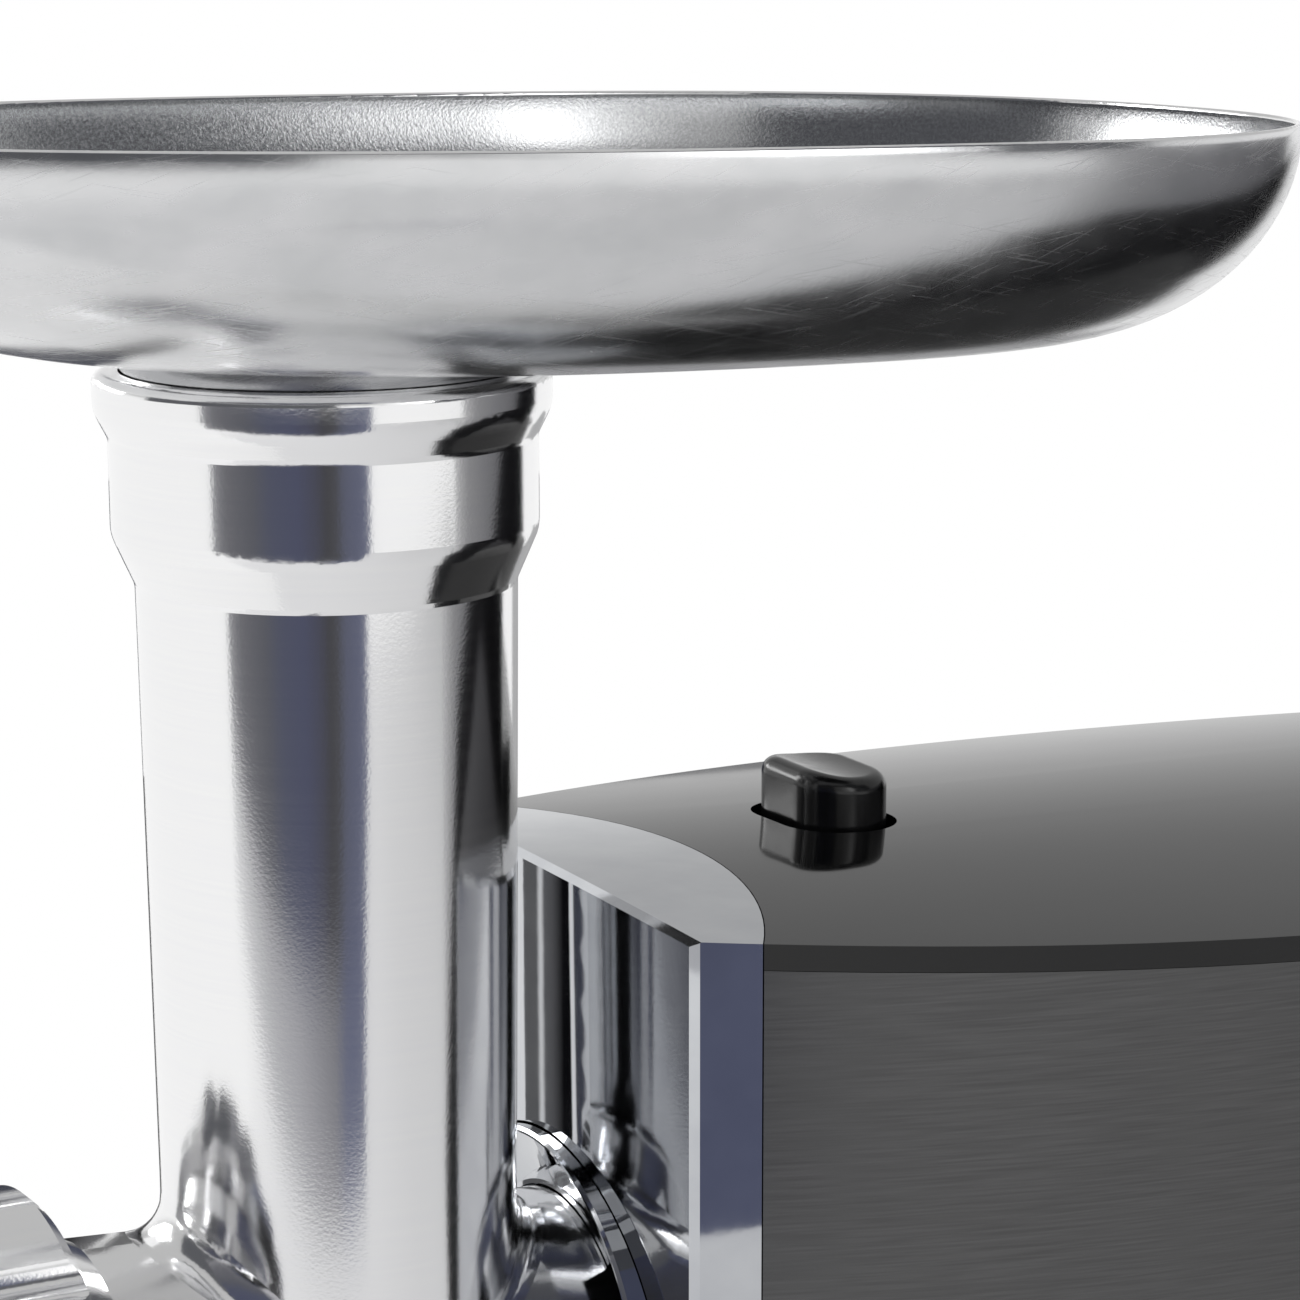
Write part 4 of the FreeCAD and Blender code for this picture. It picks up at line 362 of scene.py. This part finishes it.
def make_spring():
    """The coil, from a circle of wire drawn along a screw line; its foot stays on the casing."""
    low, high = (Vector(corner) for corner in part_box("button_spring"))
    coil_radius = (high.y - low.y - SPRING_WIRE) / 2
    rise = high.z - low.z - SPRING_WIRE
    deselect()
    bpy.ops.mesh.primitive_circle_add(
        vertices=WIRE_SIDES, radius=SPRING_WIRE / 2, rotation=(math.pi / 2, 0, 0))
    spring = bpy.context.object
    spring.name = "coil_spring"
    bpy.ops.object.transform_apply(location=True, rotation=True, scale=True)
    bpy.ops.object.mode_set(mode="EDIT")
    bpy.ops.mesh.select_all(action="SELECT")
    bpy.ops.transform.translate(value=(coil_radius, 0, low.z + SPRING_WIRE / 2))
    bpy.ops.object.mode_set(mode="OBJECT")
    coil = spring.modifiers.new("coil", "SCREW")
    coil.axis = "Z"
    coil.iterations = SPRING_TURNS
    coil.screw_offset = rise / SPRING_TURNS
    coil.steps = coil.render_steps = STEPS_PER_TURN
    bpy.ops.object.modifier_apply(modifier="coil")
    bpy.ops.object.mode_set(mode="EDIT")
    bpy.ops.mesh.select_all(action="SELECT")
    bpy.ops.mesh.fill_holes(sides=0)
    bpy.ops.mesh.select_all(action="SELECT")
    bpy.ops.mesh.normals_make_consistent(inside=False)
    bpy.ops.transform.translate(value=((low.x + high.x) / 2, (low.y + high.y) / 2, 0))
    bpy.ops.object.mode_set(mode="OBJECT")
    bpy.ops.object.shade_smooth_by_angle(angle=SPRING_SMOOTH)
    spring.data.materials.append(LOOKS["plain_steel"])
    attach(spring, "casing")
    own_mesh(spring)
    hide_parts("button_spring")


make_spring()


# Stage: white sweep, soft boxes, and grey cards that only reflections see.

EYE_SIDE = Vector((-0.468, -0.884, 0.0))   # level direction from the object to the camera
EYE_RIGHT = Vector((0.884, -0.468, 0.0))   # the camera's right
TUBE_FOOT = Vector((TUBE_X, 0.0, 0.0))


def out_from_tube(ahead, right):
    """A place on the floor, from the feed tube towards the camera and to the camera's right."""
    return TUBE_FOOT + EYE_SIDE * ahead + EYE_RIGHT * right


def round_tube(degrees, distance):
    """A place on the floor at an angle from the camera's side, to the camera's right."""
    angle = math.radians(degrees)
    return out_from_tube(distance * math.cos(angle), distance * math.sin(angle))


def ramp(tree, along, stops):
    """Tones that blend into each other along a value of 0 to 1."""
    blend = add(tree, "ShaderNodeValToRGB", {0: along})
    bands = blend.color_ramp.elements
    bands.remove(bands[1])
    bands[0].position, bands[0].color = stops[0][0], linear(stops[0][1])
    for position, code in stops[1:]:
        bands.new(position).color = linear(code)
    return blend.outputs[0]


def plain_tone(name, stops, strength=1.0):
    """A glow in tones from a card's left to its right."""
    material, tree, out = blank(name)
    place = add(tree, "ShaderNodeSeparateXYZ", {0: add(tree, "ShaderNodeTexCoord").outputs["UV"]})
    light = add(tree, "ShaderNodeEmission", {
        "Color": ramp(tree, place.outputs["X"], stops), "Strength": strength})
    tree.links.new(light.outputs[0], out.inputs[0])
    return material


def striped_tone(name, stops, foot_stops, rise, back):
    """Upright stripes that change into others towards the foot, on a card with an even back."""
    material, tree, out = blank(name)
    place = add(tree, "ShaderNodeSeparateXYZ", {0: add(tree, "ShaderNodeTexCoord").outputs["UV"]})
    share = add(tree, "ShaderNodeMapRange", {0: place.outputs["Y"], 1: rise[0], 2: rise[1]},
                interpolation_type="SMOOTHSTEP")
    stripes = add(tree, "ShaderNodeMixRGB", {
        "Fac": share.outputs[0], "Color1": ramp(tree, place.outputs["X"], foot_stops),
        "Color2": ramp(tree, place.outputs["X"], stops)})
    behind = add(tree, "ShaderNodeNewGeometry").outputs["Backfacing"]
    colour = add(tree, "ShaderNodeMixRGB", {
        "Fac": behind, "Color1": stripes.outputs[0], "Color2": linear(back)})
    light = add(tree, "ShaderNodeEmission", {"Color": colour.outputs[0], "Strength": 1.0})
    tree.links.new(light.outputs[0], out.inputs[0])
    return material


def only_reflected(board, name, material):
    """A card that only reflections see."""
    board.name = name
    for ray in ("camera", "diffuse", "shadow", "transmission", "volume_scatter"):
        setattr(board, "visible_" + ray, False)
    board.data.materials.append(material)


def card(name, corners, material):
    """A flat card by its corners: lower left, lower right, upper left, upper right."""
    deselect()
    bpy.ops.mesh.primitive_plane_add(size=1.0)
    board = bpy.context.object
    for point, corner in zip(board.data.vertices, corners):
        point.co = corner
    only_reflected(board, name, material)


def upright_card(name, left, right, low, high, material):
    """A card that stands between two places, from one height to another."""
    corners = [Vector((*place[:2], height)) for height in (low, high) for place in (left, right)]
    card(name, corners, material)


# Rows of the tube card: height, distance ahead of the tube, and left end, middle and right end.
CARD_ROWS = (
    (0.0, 0.50, (-0.716, -0.252, 0.195)), (0.204, 0.2475, (-0.342, -0.121, 0.124)),
    (0.309, 0.125, (-0.161, -0.0572, 0.0601)))
CARD_STEPS = 24


def between(low, high, share):
    """A value part of the way from one to another."""
    return low + (high - low) * share


def leaning_card(name, rows, material):
    """A card that leans over to the tube: its underside faces the tube, its back faces the tray."""
    deselect()
    bpy.ops.mesh.primitive_grid_add(x_subdivisions=2, y_subdivisions=CARD_STEPS, size=2.0)
    board = bpy.context.object
    for point in board.data.vertices:
        climb = (point.co.y + 1) / 2 * (len(rows) - 1)
        step = min(int(climb), len(rows) - 2)
        low, high = rows[step], rows[step + 1]
        column = round(point.co.x) + 1
        place = out_from_tube(between(low[1], high[1], climb - step),
                              between(low[2][column], high[2][column], climb - step))
        point.co = place + Vector((0, 0, between(low[0], high[0], climb - step)))
    if board.data.polygons[0].normal.dot(EYE_SIDE) > 0:
        board.data.flip_normals()
    only_reflected(board, name, material)


black = plain_tone("black_card", [(0, "#0c0c0e")])
dusk = plain_tone("dusk_card", [(0, "#5d5e62")])
ash = plain_tone("ash_card", [(0, "#b0b0b1")])
white = plain_tone("white_card", [(0, "#ffffff")])
front_glow = plain_tone("front_glow", [
    (0, "#808080"), (0.3, "#989898"), (0.5, "#a6a6a6"), (0.8, "#ffffff")], 3.3)
back_glow = plain_tone("back_glow", [(0, "#ffffff")], 6.0)
gap_tones = plain_tone("gap_card", [
    (0.2, "#101012"), (0.42, "#5c5c5e"), (0.58, "#6a6a6c"), (0.64, "#e5e5e5"),
    (0.68, "#e5e5e5"), (0.74, "#686869")])
back_tones = plain_tone("back_card", [(0, "#3c3e48"), (0.6, "#4a4d5c"), (0.75, "#a4a4a6")])
side_tones = plain_tone("side_card", [
    (0, "#b8b8b9"), (0.2, "#8a8a8c"), (0.45, "#78787b"), (1, "#4a4a4d")])
sheet_tones = plain_tone("floor_sheet", [
    (0.07, "#ffffff"), (0.17, "#ededee"), (0.34, "#e4e4e5"), (0.48, "#d8d8d9"),
    (0.62, "#d2d2d3"), (0.77, "#c6c6c7"), (1, "#b0b0b1")])
tube_tones = striped_tone(
    "tube_card",
    stops=[(0.0, "#929296"), (0.2, "#6e6e73"), (0.45, "#5c5d64"), (0.55, "#525566"),
           (0.68, "#4e5166"), (0.76, "#4a4b58"), (0.8, "#444447"), (0.84, "#4c4c50"),
           (0.88, "#5c5f70"), (1.0, "#61657c")],
    foot_stops=[(0.0, "#e0e0e1"), (0.4, "#b8b8bb"), (0.6, "#a8a8ac"), (0.82, "#808086"),
                (0.88, "#65697f"), (1.0, "#61657c")],
    rise=(0.26, 0.38), back="#e4e4e5")

# The stripes on the feed tube and the blue-grey return of the fascia.
leaning_card("tube_card", CARD_ROWS, tube_tones)
# The dark zone under the tray, and the pale floor that its lighter part and the panel mirror.
card("tray_card", [
    (0.30, -0.373, 0.0), (0.30, 0.10, 0.0), (0.30, -0.25, 0.165), (0.30, 0.10, 0.33)], black)
card("tray_floor_card", [
    (0.01, -0.06, 0.003), (0.30, -0.375, 0.003), (0.05, 0.0, 0.003), (0.30, 0.0, 0.003)], black)
card("floor_sheet", [
    (-0.9, -1.3, 0.002), (1.2, -1.3, 0.002), (-0.9, -0.12, 0.002), (1.2, -0.12, 0.002)],
    sheet_tones)

# Distances of the upright cards from the feed tube, and the top of the darker room around.
BEHIND, LIT, ROOM = 0.42, 0.78, 0.85
ROOM_TOP = 1.3

# Upright cards: name, left end, right end, low edge, high edge and look.
UPRIGHT_CARDS = (
    # the tube's right side
    ("side_card", (0.36, -0.42), (0.40, 0.10), 0.0, 0.34, side_tones),
    # the fascia's front behind the tube
    ("gap_card", (-0.1235, 0.095), (-0.1035, 0.095), 0.1, 0.235, gap_tones),
    # the cover's and the fascia's top
    ("back_card", round_tube(-158, BEHIND), round_tube(168, BEHIND), 0.0, 0.24, back_tones),
    ("back_side_card", round_tube(168, BEHIND), round_tube(150, BEHIND), 0.0, 0.215, ash),
    ("edge_light", (-0.26, 0.46), (-0.06, 0.50), 0.4, 0.62, white),
    # the tray's inside: its light patch, its white right end and the grey between
    ("tray_front_light", round_tube(30, LIT), round_tube(59.5, LIT), 0.365, 0.75, front_glow),
    ("tray_back_light", (-0.617, 0.594), (-0.167, 0.853), 0.365, 0.8, back_glow),
    ("room_card_far_left", round_tube(-90, ROOM), round_tube(-45, ROOM), 0.27, ROOM_TOP, dusk),
    ("room_card_left", round_tube(-45, ROOM), round_tube(12, ROOM), 0.27, ROOM_TOP, dusk),
    ("room_card_middle", round_tube(12, ROOM), round_tube(57, ROOM), 0.95, ROOM_TOP, dusk),
    ("room_card_right", round_tube(57, ROOM), round_tube(86, ROOM), 0.30, ROOM_TOP, dusk),
)
for row in UPRIGHT_CARDS:
    upright_card(*row)


def lamp(name, place, side, radiance):
    """A square soft box that faces the object and isn't mirrored in it.
    Its power follows from its size and its brightness."""
    light = bpy.data.lights.new(name, "AREA")
    light.shape = "SQUARE"
    light.size = side
    light.energy = radiance * math.pi * side * side
    holder = bpy.data.objects.new(name, light)
    bpy.context.scene.collection.objects.link(holder)
    holder.location = place
    aim = Vector((0, 0, AXIS_Z)) - Vector(place)
    holder.rotation_euler = aim.to_track_quat("-Z", "Y").to_euler()
    holder.visible_glossy = False


lamp("key", (-1.5, -0.5, 1.1), 0.9, 5.0)
lamp("fill", (0.85, -1.0, 0.42), 0.5, 2.0)
lamp("top", (0.1, 0.7, 1.6), 1.2, 3.0)


def seen_directly(tree):
    """1 where the camera, or a mirror or glass, looks straight at a thing."""
    path = add(tree, "ShaderNodeLightPath").outputs
    either = add(tree, "ShaderNodeMath", {0: path["Is Camera Ray"], 1: path["Is Glossy Ray"]},
                 operation="MAXIMUM")
    return add(tree, "ShaderNodeMath", {0: either.outputs[0], 1: path["Is Transmission Ray"]},
               operation="MAXIMUM").outputs[0]


SKY_RISE = (-0.02, 0.3)    # sines of the elevations between which the sky darkens
SKY_TONES = (1.0, 0.55)    # the sky's tone below them and above them
SCATTERED_SHARE = 0.55     # share of the sky's tone that lights dull surfaces


def make_sky():
    """A white room: pure white for the camera, and darker overhead in reflections."""
    world = bpy.data.worlds.new("studio")
    bpy.context.scene.world = world
    world.use_nodes = True
    tree = world.node_tree
    tree.nodes.clear()
    height = add(tree, "ShaderNodeSeparateXYZ", {
        0: add(tree, "ShaderNodeTexCoord").outputs["Generated"]}).outputs["Z"]
    tone = add(tree, "ShaderNodeMapRange", {
        0: height, 1: SKY_RISE[0], 2: SKY_RISE[1], 3: SKY_TONES[0], 4: SKY_TONES[1]},
        interpolation_type="SMOOTHSTEP")
    share = add(tree, "ShaderNodeMapRange", {0: seen_directly(tree), 3: SCATTERED_SHARE, 4: 1.0})
    dimmed = add(tree, "ShaderNodeMath", {0: tone.outputs[0], 1: share.outputs[0]},
                 operation="MULTIPLY")
    looked_at = add(tree, "ShaderNodeLightPath").outputs["Is Camera Ray"]
    level = add(tree, "ShaderNodeMath", {0: dimmed.outputs[0], 1: looked_at}, operation="MAXIMUM")
    sky = add(tree, "ShaderNodeBackground", {
        "Color": linear("#ffffff"), "Strength": level.outputs[0]})
    tree.links.new(sky.outputs[0], add(tree, "ShaderNodeOutputWorld").inputs[0])


make_sky()

FLOOR_SIZE = 40.0
SHADOW_REACH = (0.15, 0.5)    # distances from the origin over which the floor turns white
SHADOW_WHITES = (0.35, 1.0)   # how white it is made there


def make_floor():
    """A pale floor, white where the camera or a mirror looks past the object and its shadow."""
    look, tree, out = blank("white_sweep")
    away = add(tree, "ShaderNodeVectorMath", {
        0: add(tree, "ShaderNodeTexCoord").outputs["Object"]}, operation="LENGTH")
    far = add(tree, "ShaderNodeMapRange", {
        0: away.outputs["Value"], 1: SHADOW_REACH[0], 2: SHADOW_REACH[1],
        3: SHADOW_WHITES[0], 4: SHADOW_WHITES[1]}, interpolation_type="SMOOTHSTEP")
    share = add(tree, "ShaderNodeMath", {0: seen_directly(tree), 1: far.outputs[0]},
                operation="MULTIPLY")
    paper = add(tree, "ShaderNodeBsdfDiffuse", {"Color": linear("#f4f4f4")})
    glow = add(tree, "ShaderNodeEmission", {"Color": linear("#ffffff"), "Strength": 1.0})
    mixed = add(tree, "ShaderNodeMixShader", {
        0: share.outputs[0], 1: paper.outputs[0], 2: glow.outputs[0]})
    tree.links.new(mixed.outputs[0], out.inputs[0])
    deselect()
    bpy.ops.mesh.primitive_plane_add(size=FLOOR_SIZE)
    floor = bpy.context.object
    floor.name = "floor"
    floor.data.materials.append(look)


make_floor()

# Camera fitted to the photograph: place, axes and focal length from matched edges.

FOCAL_PX, IMAGE_PX = 3600, 1300
SENSOR_MM = 36.0
CAMERA_PLACE = (TUBE_X - 0.2157, -0.5156, SHOULDER + 0.102)
CAMERA_AHEAD = Vector((0.4586, 0.8658, -0.2003))
CAMERA_RIGHT = Vector((0.8835, -0.4684, -0.0019))


def make_camera():
    """The photograph's camera."""
    camera = bpy.data.objects.new("camera", bpy.data.cameras.new("camera"))
    bpy.context.scene.collection.objects.link(camera)
    camera.data.sensor_width = SENSOR_MM
    camera.data.lens = SENSOR_MM * FOCAL_PX / IMAGE_PX
    camera.data.clip_start = 0.01
    ahead = CAMERA_AHEAD.normalized()
    right = (CAMERA_RIGHT - CAMERA_RIGHT.dot(ahead) * ahead).normalized()
    axes = Matrix((right, right.cross(ahead), -ahead)).transposed().to_4x4()
    camera.matrix_world = Matrix.Translation(CAMERA_PLACE) @ axes
    bpy.context.scene.camera = camera


make_camera()
bpy.context.scene.view_settings.view_transform = "Standard"
